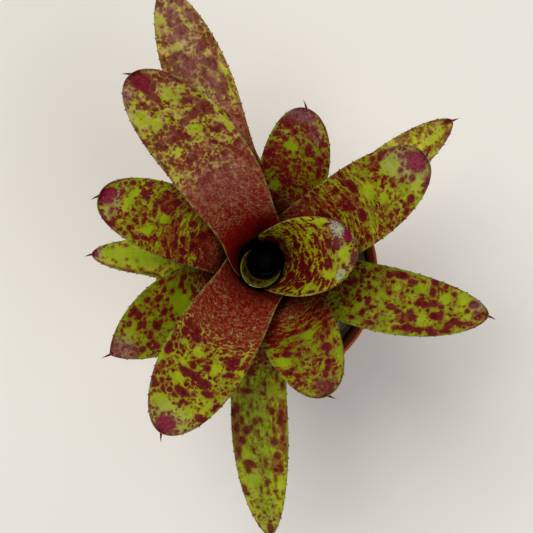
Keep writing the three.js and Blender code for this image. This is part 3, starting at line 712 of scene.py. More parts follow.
class Finish:
    """A material whose nodes are laid out from left to right as they are asked for."""

    def __init__(self, name):
        self.material = bpy.data.materials.new(name)
        self.material.use_nodes = True
        self.tree = self.material.node_tree
        self.shader = self.tree.nodes["Principled BSDF"]

    def join(self, socket, value):
        """Links a node's output to a socket, or sets the socket to a number or a colour."""
        if isinstance(value, bpy.types.NodeSocket):
            self.tree.links.new(value, socket)
        elif hasattr(value, "__len__"):
            numbers = list(value)
            wanted = len(socket.default_value)
            socket.default_value = numbers + [1.0] * (wanted - len(numbers))
        else:
            socket.default_value = value

    def node(self, kind, inputs, **settings):
        node = self.tree.nodes.new(kind)
        node.location = (NODE_SPACING * (len(self.tree.nodes) - NODES_LEFT), 0)
        for key, value in settings.items():
            setattr(node, key, value)
        for key, value in inputs.items():
            self.join(node.inputs[key], value)
        return node

    def set(self, **inputs):
        """Sets the shader's own sockets, named with _ for a space."""
        for key, value in inputs.items():
            self.join(self.shader.inputs[key.replace("_", " ")], value)

    def values(self, name):
        return self.node("ShaderNodeAttribute", {}, attribute_name=name).outputs["Fac"]

    def vectors(self, name):
        return self.node("ShaderNodeAttribute", {}, attribute_name=name).outputs["Vector"]

    def object_place(self):
        return self.node("ShaderNodeTexCoord", {}).outputs["Object"]

    def math(self, operation, a, b=0.0, c=0.0, clamp=False):
        inputs = {0: a, 1: b, 2: c}
        node = self.node("ShaderNodeMath", inputs, operation=operation, use_clamp=clamp)
        return node.outputs[0]

    def add(self, a, b):
        return self.math("ADD", a, b)

    def minus(self, a, b):
        return self.math("SUBTRACT", a, b)

    def less(self, share):
        """What a share leaves over: 1 less it, and never below 0."""
        return self.math("SUBTRACT", 1.0, share, clamp=True)

    def times(self, a, b):
        return self.math("MULTIPLY", a, b)

    def most(self, a, b):
        return self.math("MAXIMUM", a, b)

    def blend(self, share, a, b):
        return self.add(a, self.times(share, self.minus(b, a)))

    def stretched(self, vector, x, y, z=1.0):
        node = self.node("ShaderNodeVectorMath", {0: vector, 1: (x, y, z)}, operation="MULTIPLY")
        return node.outputs[0]

    def shifted(self, vector, by):
        return self.node("ShaderNodeVectorMath", {0: vector, 1: by}, operation="ADD").outputs[0]

    def noise(self, vector, scale, detail=2.0, roughness=0.5):
        inputs = {"Vector": vector, "Scale": scale, "Detail": detail, "Roughness": roughness}
        return self.node("ShaderNodeTexNoise", inputs).outputs["Fac"]

    def noise_vector(self, vector, scale, amount):
        """A wandering offset of up to about half of amount each way."""
        inputs = {"Vector": vector, "Scale": scale, "Detail": 1.0}
        wander = self.node("ShaderNodeTexNoise", inputs).outputs["Color"]
        middle = self.shifted(wander, (-0.5, -0.5, -0.5))
        return self.stretched(middle, amount, amount, amount)

    def cells(self, vector, size, feature="SMOOTH_F1"):
        """Voronoi cells of a size: the distance in them, and a random number for each."""
        inputs = {"Vector": vector, "Scale": 1 / size, "Randomness": 1.0}
        if feature == "SMOOTH_F1":
            inputs["Smoothness"] = CELL_SMOOTHNESS
        kind = "ShaderNodeTexVoronoi"
        node = self.node(kind, inputs, voronoi_dimensions="2D", feature=feature)
        distance = self.times(node.outputs["Distance"], size)
        if feature == "DISTANCE_TO_EDGE":
            return distance
        split = self.node("ShaderNodeSeparateColor", {"Color": node.outputs["Color"]})
        return distance, split.outputs["Red"]

    def ramp(self, value, low, high, start=0.0, end=1.0):
        """A soft change from start to end while the value goes from low to high."""
        inputs = {"Value": value, 1: low, 2: high, 3: start, 4: end}
        node = self.node("ShaderNodeMapRange", inputs, interpolation_type="SMOOTHSTEP")
        return node.outputs["Result"]

    def mix(self, share, a, b):
        """Colour a with a share of colour b laid over it."""
        inputs = {0: share, 6: a, 7: b}
        return self.node("ShaderNodeMix", inputs, data_type="RGBA").outputs[2]

    def bump(self, height, distance, strength=1.0):
        inputs = {"Height": height, "Distance": distance, "Strength": strength}
        self.set(Normal=self.node("ShaderNodeBump", inputs).outputs["Normal"])


def spot_field(f, place, size, low, high):
    """Round spots, one to a cell: how far inside the edge of the nearest one a point lies. The
    radii run from low to high, and a cell whose radius is below 0 has no spot."""
    distance, draw = f.cells(place, size)
    return f.minus(f.ramp(draw, 0, 1, low, high), distance)


def island_field(f, place, size, grown):
    """Islands, one to a cell, that grow into a net of ever thinner threads: how far inside the
    edge of the nearest one a point lies."""
    distance, draw = f.cells(place, size, "F1")
    radius = f.add(f.times(f.ramp(grown, 0, 0.6), 1.1 * size), f.ramp(draw, 0, 1, -0.8, 0))
    thread = f.ramp(grown, 0.4, 1.0, 0.3, -0.5)
    edge = f.cells(place, size, "DISTANCE_TO_EDGE")
    return f.math("MINIMUM", f.minus(radius, distance), f.minus(edge, thread))


def centred(f, value, amount):
    """A texture's value from 0 to 1 as one that runs up to half of amount each way."""
    return f.times(f.minus(value, 0.5), amount)


def dimmed(colour, share):
    return [x * share for x in colour]


class LeafFields(NamedTuple):
    """What several layers of a leaf's finish read at each point."""

    place: bpy.types.NodeSocket  # across, along and the leaf's own shift, in mm
    loose: bpy.types.NodeSocket  # the same, wandering a little
    crooked: bpy.types.NodeSocket  # and wandering more
    flush: bpy.types.NodeSocket  # the red flush round the cup
    streaks: bpy.types.NodeSocket  # how much the marks run across the leaf, or along it below 0
    across_share: bpy.types.NodeSocket  # how far they are drawn out across it
    along_share: bpy.types.NodeSocket  # and along it
    crowd: bpy.types.NodeSocket  # where the marks crowd together
    hue: bpy.types.NodeSocket  # slow changes of colour
    rough: bpy.types.NodeSocket  # the unevenness of every edge


def leaf_fields(f):
    """The fields of a leaf's finish, from the values painted on its mesh."""
    place = f.vectors("leaf_place")
    loose = f.shifted(place, f.noise_vector(place, 0.4, 1.8))
    streaks = f.values("streaks")
    return LeafFields(
        place=place,
        loose=loose,
        crooked=f.shifted(loose, f.noise_vector(place, 1.1, 1.5)),
        flush=f.values("flush"),
        streaks=streaks,
        across_share=f.ramp(streaks, 0.1, 0.55),
        along_share=f.ramp(streaks, -0.1, -0.5),
        crowd=f.ramp(f.noise(f.stretched(place, 0.6, 1.4), 0.075), 0.32, 0.68, -0.7, 0.7),
        hue=f.noise(place, 0.3, 3.0),
        rough=centred(f, f.noise(place, 0.8), 1.0),
    )


def drawn_out(f, at, plain, across, along):
    """Plain marks, or those that are drawn out across or along the leaf."""
    return f.blend(at.along_share, f.blend(at.across_share, plain, across), along)


def spot_depth(f, at):
    """The spots, which run together like drops: how far inside their edge a point lies, in mm."""
    large = f.add(spot_field(f, at.loose, 4.6, -1.4, 1.9), at.crowd)
    large = f.minus(large, f.times(f.values("placed"), 4.0))
    middle = spot_field(f, f.shifted(at.loose, (31, 17, 0)), 2.5, -0.8, 1.05)
    bars = spot_field(f, f.stretched(at.loose, 0.38, 1.05), 1.6, -0.6, 0.8)
    strokes = spot_field(f, f.stretched(at.loose, 1.05, 0.4), 1.9, -0.75, 0.9)
    middle = f.add(drawn_out(f, at, middle, bars, strokes), f.times(at.crowd, 0.6))
    small = spot_field(f, f.shifted(at.loose, (57, 71, 0)), 1.4, -0.7, 0.45)
    small = f.add(small, f.times(at.crowd, 0.2))
    spots = f.math("SMOOTH_MAX", f.math("SMOOTH_MAX", large, middle, 0.6), small, 0.3)
    spots = f.math("SMOOTH_MAX", f.add(spots, f.values("spotting")), f.values("dark"), 0.5)
    return f.add(spots, f.times(at.rough, 0.8))


def spot_cover(f, spots):
    """How much the spots cover, less where they are faint and the ground shows through."""
    faint = f.values("faint")
    soft = f.times(faint, 1.2)
    cover = f.ramp(spots, f.minus(-0.2, soft), f.add(soft, 0.32))
    return f.times(cover, f.minus(1.0, f.times(faint, 0.8)))


def stain_cover(f, at):
    """How much the soft brown stain between the spots covers."""
    dots = spot_field(f, f.shifted(at.loose, (83, 29, 0)), 1.6, -0.6, 0.8)
    smudge = f.add(dots, centred(f, f.noise(at.loose, 0.4), 5.0))
    across_dash = centred(f, f.noise(f.stretched(at.loose, 0.22, 1.0), 0.8, 2.0, 0.4), 6.0)
    along_dash = centred(f, f.noise(f.stretched(at.loose, 1.2, 0.22), 0.8, 2.0, 0.4), 6.0)
    smudge = drawn_out(f, at, smudge, across_dash, along_dash)
    smudge = f.add(f.add(smudge, f.values("stain")), f.times(at.crowd, 0.3))
    smudge = f.minus(f.add(smudge, f.times(f.values("cloud"), 2.0)), f.values("bare"))
    crisp = f.times(at.across_share, 0.4)
    return f.ramp(smudge, f.add(crisp, -0.4), f.minus(0.9, crisp), 0.0, 0.8)


def flush_cover(f, at):
    """How much the flush covers: islands that grow and close up, with a net of threads left."""
    wander = f.times(centred(f, f.noise(at.place, 0.17, 3.0), 0.9), f.ramp(at.flush, 0, 0.3))
    grown = f.add(at.flush, wander)
    near = island_field(f, f.stretched(at.crooked, 0.7, 1.1), 1.4, grown)
    far = island_field(f, f.stretched(at.crooked, 0.65, 1.0), 2.3, grown)
    islands = f.blend(f.ramp(grown, 0.45, 0.75), far, near)
    return f.ramp(f.add(islands, at.rough), -0.2, 0.16)


def ground_colour(f, at, c, lines):
    """The green ground, with darker lines along the leaf."""
    aged = f.add(f.ramp(f.noise(at.place, 0.13, 3.0), 0.35, 0.7, 0.0, 0.5), f.values("old"))
    green = f.mix(aged, c.lime, c.olive)
    green = f.mix(f.ramp(aged, 0.0, -0.45), green, c.pale_lime)
    green = f.mix(f.times(f.values("bare"), 0.25), green, c.lime)
    fresh = f.times(f.values("fresh"), f.ramp(lines, 0.3, 0.6, 0.5, 1.0))
    green = f.mix(fresh, green, c.fresh)
    green = f.mix(f.ramp(lines, 0.45, 0.8, 0.0, 0.22), green, dimmed(c.olive, 0.4))
    bruised = f.ramp(f.noise(at.loose, 0.45), 0.42, 0.75, 0.0, 0.35)
    green = f.mix(bruised, green, c.bruise)
    return f.mix(f.ramp(at.flush, 0.15, 0.8, 0.0, 0.7), green, c.thread)


def marked_colour(f, at, c, green, spots, spotted, darkened):
    """The stain, the flush and the spots over the green, all redder towards the cup."""
    halo = f.ramp(spots, -1.0, 0.1)
    skin = f.mix(f.times(halo, 0.5), green, c.brown)
    brown = f.mix(f.times(at.streaks, 0.8), c.brown, c.red)
    skin = f.mix(darkened, skin, f.mix(f.ramp(at.flush, 0.1, 0.6), brown, c.red))
    spot_colour = f.mix(f.ramp(at.hue, 0.4, 0.7), c.maroon, c.purple)
    spot_colour = f.mix(f.ramp(at.flush, 0.2, 0.9), spot_colour, c.red)
    spot_colour = f.mix(f.ramp(spots, 0.1, 1.2, 0.45, 0.0), spot_colour, c.brown)
    spot_colour = f.mix(f.times(at.across_share, 0.6), spot_colour, c.maroon)
    skin = f.mix(flush_cover(f, at), skin, f.mix(f.ramp(at.hue, 0.4, 0.6), c.red, c.brown))
    return f.mix(spotted, skin, spot_colour)


def flushed_colour(f, at, c, skin):
    """Deeper clots and a net of pale threads in the flush, and the deep red beside the cup."""
    clots = f.ramp(f.noise(f.stretched(at.loose, 1.0, 0.8), 0.3, 3.0, 0.6), 0.44, 0.56)
    skin = f.mix(f.times(clots, f.ramp(at.flush, 0.35, 0.8, 0.0, 0.8)), skin, c.deep_red)
    net = centred(f, f.noise(f.stretched(at.crooked, 0.9, 0.8), 0.36), 1.0)
    net = f.ramp(f.times(net, net), 0.0014, 0.0)
    skin = f.mix(f.times(net, f.ramp(at.flush, 0.35, 0.8, 0.0, 0.36)), skin, c.thread)
    deep = f.add(f.values("deep"), centred(f, at.hue, 0.5))
    return f.mix(f.ramp(deep, 0.2, 0.95, 0.0, 0.95), skin, c.deep_red)


def tip_colour(f, at, c, skin):
    """The ragged crimson blotch and the dark margin at the tip, and how far the blotch covers."""
    ragged = centred(f, f.noise(f.stretched(at.loose, 1.2, 0.6), 0.5, 4.0, 0.7), 1.0)
    crimson = f.add(f.values("crimson"), f.times(ragged, 1.5))
    vein = f.ramp(f.noise(f.stretched(at.loose, 1.3, 0.6), 0.45, 3.0, 0.6), 0.42, 0.6)
    crimson_colour = f.mix(f.ramp(crimson, 0.5, 1.4), c.purple, c.crimson)
    crimson_colour = f.mix(f.times(vein, 0.35), crimson_colour, c.maroon)
    blotch = f.ramp(crimson, 0.1, 1.0)
    skin = f.mix(blotch, skin, crimson_colour)
    tip = f.add(f.values("dark_tip"), f.times(ragged, 1.6))
    return f.mix(f.ramp(tip, 0.5, 0.8, 0.0, 0.8), skin, c.purple), blotch


def margin_colour(f, at, c, skin):
    """The pale margin of the sheaths, and a thin one on the blades, green and dark by turns."""
    edge, pale_edge = f.values("edge"), f.values("pale_edge")
    skin = f.mix(f.times(f.ramp(edge, 0.45, 0.2), pale_edge), skin, c.pale_edge)
    by_turns = f.noise(f.stretched(at.place, 0.4, 1.0), 0.2)
    green_edge = f.times(f.ramp(edge, 1.3, 0.5), f.ramp(by_turns, 0.52, 0.42))
    skin = f.mix(f.times(green_edge, 0.4), skin, c.fresh)
    dark_edge = f.times(f.ramp(edge, 0.7, 0.1), f.ramp(by_turns, 0.45, 0.58))
    dark_edge = f.times(dark_edge, f.less(pale_edge))
    return f.mix(f.times(dark_edge, 0.6), skin, c.purple)


def bloom_and_sheen_colour(f, at, c, skin, marks, fine):
    """Scales too small to see one by one: a thin pale film and a mauve bloom, both partly painted sheen,
    and a fine grain. They show less where the leaf is deep red and over its marks. Also gives how thick the
    film and its painted sheen are."""
    patchy = f.ramp(f.noise(f.stretched(at.loose, 1.2, 0.8), 0.3, 3.0), 0.3, 0.75)
    clear = f.less(f.most(f.times(f.values("deep"), 1.5), marks))
    # The film of scales, partly painted sheen, kept off the deep red and the marks.
    film = f.times(f.times(f.values("film"), patchy), clear)
    skin = f.mix(f.times(film, 0.5), skin, c.film)
    mottled = f.noise(f.stretched(at.loose, 1.2, 0.7), 0.8, 3.0, 0.6)
    mottled = f.ramp(mottled, 0.35, 0.65, 0.2, 1.3)
    # The mauve bloom in the dusty patches, partly painted sky reflection.
    bloom_and_sheen = f.times(f.times(f.values("dusty"), mottled), f.add(f.times(clear, 0.6), 0.4))
    skin = f.mix(f.times(bloom_and_sheen, 0.45), skin, c.bloom_and_sheen)
    grain = f.times(f.ramp(fine, 0.48, 0.7), f.ramp(at.flush, 0.25, 0.7, 0.0, 0.2))
    return f.mix(f.times(grain, clear), skin, c.thread), film


def scurf_colour(f, at, c, skin):
    """Pale specks in the flush and flaking patches of scurf, and how far the patches cover."""
    specks = spot_field(f, f.shifted(at.place, (11, 5, 0)), 2.6, -1.6, 0.26)
    specks = f.times(f.ramp(specks, -0.05, 0.06), f.ramp(at.flush, 0.3, 0.8, 0.0, 0.35))
    skin = f.mix(specks, skin, c.scurf)
    flaking = centred(f, f.noise(at.place, 1.1, 4.0, 0.6), 3.6)
    scurf = f.ramp(f.add(f.values("scurf"), flaking), 0.35, 1.0)
    flakes = f.noise(f.shifted(at.place, (3, 9, 0)), 1.9, 3.0, 0.6)
    flakes = f.ramp(flakes, 0.32, 0.68, 0.1, 0.95)
    return f.mix(f.times(scurf, flakes), skin, c.scurf), scurf


def underside_colour(f, at, c, marks):
    """The dull underside, where the marks show through, with cross bands of scales."""
    bands = f.noise(f.stretched(at.place, 0.12, 1.0), 0.22, 3.0)
    dull = f.mix(f.ramp(bands, 0.35, 0.7, 0.1, 0.5), c.under, c.scurf)
    return f.mix(f.times(marks, 0.42), dull, c.maroon)


def leaf_finish(name, c):
    """Lime leaf, stained brown, spotted and streaked with maroon, flushed red round the cup."""
    f = Finish(name)
    at = leaf_fields(f)
    lines = f.noise(f.stretched(at.place, 2.4, 0.05), 1.0, 3.0, 0.6)
    fine = f.noise(at.place, 3.2, 3.0, 0.6)
    spots = spot_depth(f, at)
    spotted, darkened = spot_cover(f, spots), stain_cover(f, at)

    skin = ground_colour(f, at, c, lines)
    skin = marked_colour(f, at, c, skin, spots, spotted, darkened)
    skin = flushed_colour(f, at, c, skin)
    skin, blotch = tip_colour(f, at, c, skin)
    skin = margin_colour(f, at, c, skin)
    dark_marks = f.most(f.times(spotted, 0.6), f.times(blotch, 0.95))
    skin, film = bloom_and_sheen_colour(f, at, c, skin, dark_marks, fine)
    skin, scurf = scurf_colour(f, at, c, skin)

    # The underside, the painted shade in the cup and on the heart leaf, and the teeth.
    dull = underside_colour(f, at, c, f.most(spotted, darkened))
    skin = f.mix(f.times(f.values("under"), 0.88), skin, dull)
    skin = f.mix(f.values("depth"), skin, BLACK)
    skin = f.mix(f.values("tooth"), skin, c.horn)

    relief = f.add(f.times(lines, 0.6), f.times(fine, 0.25))
    relief = f.add(relief, f.times(spotted, 0.08))
    gloss = f.add(f.ramp(fine, 0.2, 0.8, 0.36, 0.5), f.times(scurf, 0.3))
    gloss = f.most(f.add(gloss, f.times(film, 0.2)), f.values("depth"))
    f.set(Base_Color=skin, Roughness=gloss, Specular_IOR_Level=0.02)
    f.bump(relief, 0.00022, 0.8)
    return f.material


def plastic_finish(name, c):
    """Moulded terracotta plastic, scuffed outside, with painted shade darkening the inside wall below the
    lip.
    """
    f = Finish(name)
    place = f.object_place()
    grain = f.noise(place, 420, 3.0, 0.6)
    cloud = f.noise(place, 26, 3.0)
    streak = f.noise(f.stretched(place, 1.0, 1.0, 0.06), 160, 3.0, 0.6)
    split = f.node("ShaderNodeSeparateXYZ", {0: place})
    base = f.mix(f.ramp(cloud, 0.3, 0.75, 0.0, 0.35), c.plastic, dimmed(c.plastic, 0.62))
    base = f.mix(f.ramp(streak, 0.5, 0.8, 0.0, 0.35), base, c.worn)
    dust = f.times(f.ramp(grain, 0.55, 0.75), f.ramp(cloud, 0.4, 0.7))
    base = f.mix(f.times(dust, 0.5), base, c.worn)
    rim = f.ramp(split.outputs["Z"], c.height - 1.2 * MM, c.height - 0.2 * MM)
    base = f.mix(f.times(rim, f.ramp(streak, 0.35, 0.7, 0.1, 0.5)), base, c.worn)
    # Painted shade on the inside wall below the lip, made uneven by the cloud.
    painted_shade = f.add(f.values("inside"), centred(f, cloud, 0.3))
    base = f.mix(f.ramp(painted_shade, 0.3, 0.8), base, c.darkened)
    rough = f.ramp(f.add(f.times(grain, 0.5), f.times(cloud, 0.5)), 0.3, 0.7, 0.38, 0.58)
    f.set(Base_Color=base, Roughness=rough, Specular_IOR_Level=0.35)
    f.bump(f.add(f.times(grain, 0.5), f.times(streak, 0.35)), 0.0001, 0.6)
    return f.material


def crumb_finish(name, light, dark, grey, scale, rough):
    """Loose stuff whose colour changes from piece to piece and over each piece."""
    f = Finish(name)
    place = f.object_place()
    each = f.noise(place, scale, 1.0)
    fibre = f.noise(f.stretched(place, 1.0, 0.25, 1.0), scale * 9, 4.0, 0.65)
    speckle = f.noise(place, scale * 16, 3.0, 0.7)
    base = f.mix(f.ramp(each, 0.35, 0.65), light, dark)
    base = f.mix(f.ramp(f.noise(place, scale * 0.6, 3.0), 0.42, 0.68), base, grey)
    base = f.mix(f.ramp(fibre, 0.45, 0.8, 0.0, 0.6), base, dimmed(dark, 0.35))
    base = f.mix(f.ramp(speckle, 0.62, 0.8, 0.0, 0.4), base, grey)
    f.set(Base_Color=base, Roughness=f.ramp(speckle, 0.3, 0.7, rough - 0.12, rough))
    f.bump(f.add(fibre, f.times(speckle, 0.5)), 0.0005, 0.9)
    return f.material


def floor_finish(name, c):
    """A plain pale floor, a little uneven in tone."""
    f = Finish(name)
    place = f.object_place()
    tone = f.noise(place, 3, 3.0)
    f.set(Base_Color=f.mix(f.ramp(tone, 0.3, 0.7), c.floor, dimmed(c.floor, 0.97)))
    f.set(Roughness=0.85)
    f.bump(f.noise(place, 900, 2.0), 0.0001, 0.3)
    return f.material


# ------------------------------------------------------------------ pot

FOOT_CHAMFER = 1 * MM
FLOOR_CORNER = 5 * MM  # how high the corner between wall and floor is filled in
BAND_RISE = 1 * MM  # height over which the wall steps out to the stacking band
LIP_ROUND = 0.5 * MM
DRILL_SIDES, DRILL_DEPTH = 32, 12 * MM
EDGE_BEVEL, BEVELLED_FROM = 0.45 * MM, math.radians(28)
# The inside wall is painted with shade, which deepens to full over this distance below the lip.
SHADE_FROM_LIP = 5 * MM  # how far below the lip the inside has gone dark


def wall_radius(pot, height):
    """Outside radius of the tapering wall."""
    under_lip = pot.rim_radius - pot.band_step - pot.band_flare
    return blend(height / pot.height, pot.base_radius, under_lip)


def inside_profile(pot):
    """The inside of the wall, from the floor up to the lip."""
    band_foot = pot.height - pot.band_height
    band_inside = wall_radius(pot, band_foot) - pot.wall
    return [
        (wall_radius(pot, 0) - pot.wall - FOOT_CHAMFER, pot.foot_raised + pot.floor),
        (wall_radius(pot, FLOOR_CORNER) - pot.wall, FLOOR_CORNER),
        (band_inside, band_foot - BAND_RISE),
        (band_inside + pot.band_step, band_foot + 1.5 * BAND_RISE),
        (pot.rim_radius - pot.lip - LIP_ROUND, pot.height - 2 * LIP_ROUND),
    ]


def outside_profile(pot):
    """From the middle pad over the foot ring and up the outside of the wall to the lip."""
    band_foot = pot.height - pot.band_height
    side = wall_radius(pot, band_foot)
    ring_outside = pot.base_radius - FOOT_CHAMFER
    ring_inside = ring_outside - pot.foot_ring
    raised = pot.foot_raised
    return [
        (pot.foot_pad, 0),
        (pot.foot_pad + raised, raised),
        (ring_inside - raised, raised),
        (ring_inside, 0),
        (ring_outside, 0),
        (pot.base_radius, FOOT_CHAMFER),
        (side, band_foot),
        (side + pot.band_step, band_foot + BAND_RISE),
        (pot.rim_radius - 0.4 * LIP_ROUND, pot.height - 2.4 * LIP_ROUND),
        (pot.rim_radius, pot.height - 1.2 * LIP_ROUND),
        (pot.rim_radius - LIP_ROUND, pot.height),
        (pot.rim_radius - pot.lip, pot.height),
    ]


def inside_radius(pot, heights):
    """Inside radius of the wall at one height or at many."""
    radii, levels = zip(*inside_profile(pot))
    return np.interp(heights, levels, radii)


def drill_drain_holes(piece, pot):
    for i in range(pot.drain_count):
        angle = math.tau * i / pot.drain_count
        start_clean()
        place = (pot.drain_ring * math.cos(angle), pot.drain_ring * math.sin(angle), 0)
        bpy.ops.mesh.primitive_cylinder_add(
            vertices=DRILL_SIDES, radius=pot.drain_radius, depth=DRILL_DEPTH, location=place
        )
        drill = named("drill")
        add_modifier(piece, "BOOLEAN", operation="DIFFERENCE", object=drill, solver="EXACT")
        bpy.data.objects.remove(drill)


def add_pot(pot):
    profile = [*outside_profile(pot), *reversed(inside_profile(pot))]
    piece = turned("pot_shell", profile, pot.sides)
    drill_drain_holes(piece, pot)
    add_modifier(
        piece,
        "BEVEL",
        width=EDGE_BEVEL,
        segments=3,
        limit_method="ANGLE",
        angle_limit=BEVELLED_FROM,
    )
    x, y, z = coordinates(piece.data).T
    inside = np.hypot(x, y) < inside_radius(pot, z) + 0.4 * MM
    inside &= z > pot.foot_raised + 0.5 * pot.floor
    # How much painted shade each point of the inside wall takes: none at the lip, full a little below it.
    write_values(piece.data, "inside", inside * smooth(z, pot.height, pot.height - SHADE_FROM_LIP))
    smooth_shaded(piece, angle=35)
    return piece


# ------------------------------------------------------------------ potting mix

WAVES, WAVE_RISE = 60, 1.1 * MM  # slow waves of the surface: how many a metre, and their height
CRUMBS, CRUMB_RISE = 260, 0.7 * MM  # and its crumbs
MIX_RINGS, MIX_SIDES = 48, 160
CHIP_KINDS, GRAIN_KINDS = 6, 5
CHIP_SIZES = (0.32, 1.05)  # the smallest and the largest, as shares of the bark's settings
GRAIN_SIZES = (0.9 * MM, 2.6 * MM)
CHIP_SUNK, GRAIN_SUNK = 0.12, 0.3  # how high their middles lie, as shares of their thickness
STEM_ROOM, WALL_ROOM = 8.5 * MM, 0.3 * MM  # kept clear round the plant's axis and at the wall


def mix_height(mix, x, y, rim):
    """Height of the loose surface."""
    share = math.hypot(x, y) / rim
    waves = noise.noise(Vector((x, y, 0)) * WAVES) * WAVE_RISE
    crumbs = noise.noise(Vector((x, y, 3)) * CRUMBS) * CRUMB_RISE
    return mix.top - mix.dip * (1 - share**2) + waves + crumbs


def add_mix_bed(pot, mix):
    """The peaty body of the mix, up to its crumbly top."""
    bottom = pot.foot_raised + pot.floor + mix.gap
    rim = inside_radius(pot, mix.top) - mix.gap
    side = [(r - mix.gap, z) for r, z in inside_profile(pot) if bottom < z < mix.top]
    rings = [(rim * share, mix.top) for share in np.linspace(1, 0.02, MIX_RINGS)]
    first = (inside_profile(pot)[0][0] - mix.gap, bottom)
    piece = turned("potting_mix_bed", [first, *side, *rings], MIX_SIDES)
    points = coordinates(piece.data)
    for i, (x, y, z) in enumerate(points):
        inner = math.hypot(x, y) < rim * 0.995
        if z > mix.top - 0.01 * MM and inner:
            points[i, 2] = mix_height(mix, x, y, rim)
    place_points(piece.data, points)
    smooth_shaded(piece, angle=60)
    return piece


def add_chip_pattern(seed):
    """One irregular lump of bark, one unit across."""
    start_clean()
    bpy.ops.mesh.primitive_cube_add(size=1)
    piece = named("chip_pattern")
    bpy.ops.object.mode_set(mode="EDIT")
    bpy.ops.mesh.select_all(action="SELECT")
    bpy.ops.mesh.subdivide(number_cuts=2)
    bpy.ops.object.mode_set(mode="OBJECT")
    points = coordinates(piece.data)
    for i, point in enumerate(points):
        shake = noise.noise_vector(Vector(point) * 1.7 + Vector((seed * 9.1, 0, 0)))
        pull = 1 - 0.16 * np.sum(point**4)
        points[i] = point * pull + np.array(shake) * 0.34
    place_points(piece.data, points)
    return keep_mesh(piece)


def add_grain_pattern(seed):
    """One puffed grain of perlite, one unit across."""
    start_clean()
    bpy.ops.mesh.primitive_ico_sphere_add(subdivisions=2, radius=0.5)
    piece = named("grain_pattern")
    points = coordinates(piece.data)
    for i, point in enumerate(points):
        swell = 1 + 0.35 * noise.noise(Vector(point) * 2.6 + Vector((seed * 5.3, 1, 0)))
        points[i] = point * swell
    place_points(piece.data, points)
    return keep_mesh(piece)


def scattered_places(mix, rim, count, draw, size_of, patterns, sunk):
    """Random places over the mix's surface, clear of the stem and of the pot's wall."""
    places = []
    while len(places) < count:
        size = size_of()
        out = rim * math.sqrt(draw.uniform(0.06, 1))
        angle = draw.uniform(0, math.tau)
        x, y = out * math.cos(angle), out * math.sin(angle)
        reach = 0.55 * max(size)
        off_stem = math.hypot(x - PLANT.x * MM, y - PLANT.y * MM)
        if out + reach > rim - WALL_ROOM or off_stem < STEM_ROOM + reach:
            continue
        height = mix_height(mix, x, y, rim) + sunk * size[2]
        tilt = Matrix.Rotation(draw.gauss(0, 0.35), 4, "X")
        tilt = tilt @ Matrix.Rotation(draw.gauss(0, 0.3), 4, "Y")
        spin = Matrix.Rotation(draw.uniform(0, math.tau), 4, "Z")
        scale = Matrix.Diagonal((*size, 1))
        matrix = Matrix.Translation((x, y, height)) @ spin @ tilt @ scale
        places.append((draw.randrange(patterns), matrix))
    return places


def add_bark(mix, rim, draw):
    patterns = [add_chip_pattern(seed) for seed in range(CHIP_KINDS)]

    def size_of():
        grown = draw.uniform(*CHIP_SIZES)
        wide = mix.bark_wide * grown * draw.uniform(0.6, 1.1)
        return mix.bark_long * grown, wide, mix.bark_thick * grown

    places = scattered_places(mix, rim, mix.bark_count, draw, size_of, CHIP_KINDS, CHIP_SUNK)
    piece = scatter("bark_chips", patterns, places)
    smooth_shaded(piece, angle=32)
    return piece


def add_perlite(mix, rim, draw):
    patterns = [add_grain_pattern(seed) for seed in range(GRAIN_KINDS)]

    def size_of():
        width = draw.uniform(*GRAIN_SIZES)
        return width, width * draw.uniform(0.75, 1), width * draw.uniform(0.65, 0.95)

    places = scattered_places(mix, rim, mix.perlite_count, draw, size_of, GRAIN_KINDS, GRAIN_SUNK)
    piece = scatter("perlite_grains", patterns, places)
    smooth_shaded(piece, angle=60)
    return piece


# ------------------------------------------------------------------ stem


STEM_SIDES = 48
STEM_BUMPS, BUMP_RISE = 300, 0.15 * MM  # how many a metre, and how far they stand out
SHOULDER = 2.5 * MM  # how far the stem's ends are rounded in
SCARS = 15  # stretches between the scars of old leaves
FIRST_ROOT = 0.3  # where the roots begin round the stem, as a share of their spacing
ROOT_TOP = 5 * MM  # how high above the stem's lower end they begin
# A root's route: how far along it, how far it has turned by then, and how much of its thickness
# is left.
ROOT_ROUTE = ((0.12, 0, 1.0), (0.45, 0.12, 0.95), (0.75, -0.1, 0.8), (1, 0.1, 0.45))


def root_point(stem, number, share, turn):
    """A point of a root, a share of the way from the stem to its end."""
    angle = (number + FIRST_ROOT) / stem.root_count * math.tau + turn
    out = stem.root_reach * share
    height = stem.bottom + ROOT_TOP - stem.root_drop * share**1.6
    return Vector((out * math.cos(angle), out * math.sin(angle), height))


def add_root(stem, number):
    """One wiry root, drawn as a curve of its own thickness."""
    curve = bpy.data.curves.new("root", "CURVE")
    curve.dimensions = "3D"
    curve.bevel_depth = stem.root_radius
    curve.bevel_resolution = 2
    curve.resolution_u = 6
    curve.use_fill_caps = True
    spline = curve.splines.new("BEZIER")
    spline.bezier_points.add(len(ROOT_ROUTE) - 1)
    for point, (share, turn, thick) in zip(spline.bezier_points, ROOT_ROUTE):
        point.co = root_point(stem, number, share, turn)
        point.handle_left_type = point.handle_right_type = "AUTO"
        point.radius = thick
    piece = bpy.data.objects.new("root", curve)
    bpy.context.collection.objects.link(piece)
    take(piece)
    bpy.ops.object.convert(target="MESH")
    return bpy.context.object


def stem_profile(stem):
    """Up the side of the stem, with a groove at the scar of each old leaf."""
    low, high = stem.bottom + SHOULDER, stem.top - SHOULDER
    step = (high - low) / SCARS
    profile = [(stem.radius - SHOULDER, stem.bottom), (stem.radius, low)]
    for i in range(1, SCARS):
        height = low + i * step
        profile.append((stem.radius - 0.1 * MM, height - 0.35 * step))
        profile.append((stem.radius - 0.75 * MM, height))
        profile.append((stem.radius - 0.3 * MM, height + 0.15 * step))
    return profile + [(stem.radius, high), (stem.radius - SHOULDER, stem.top)]


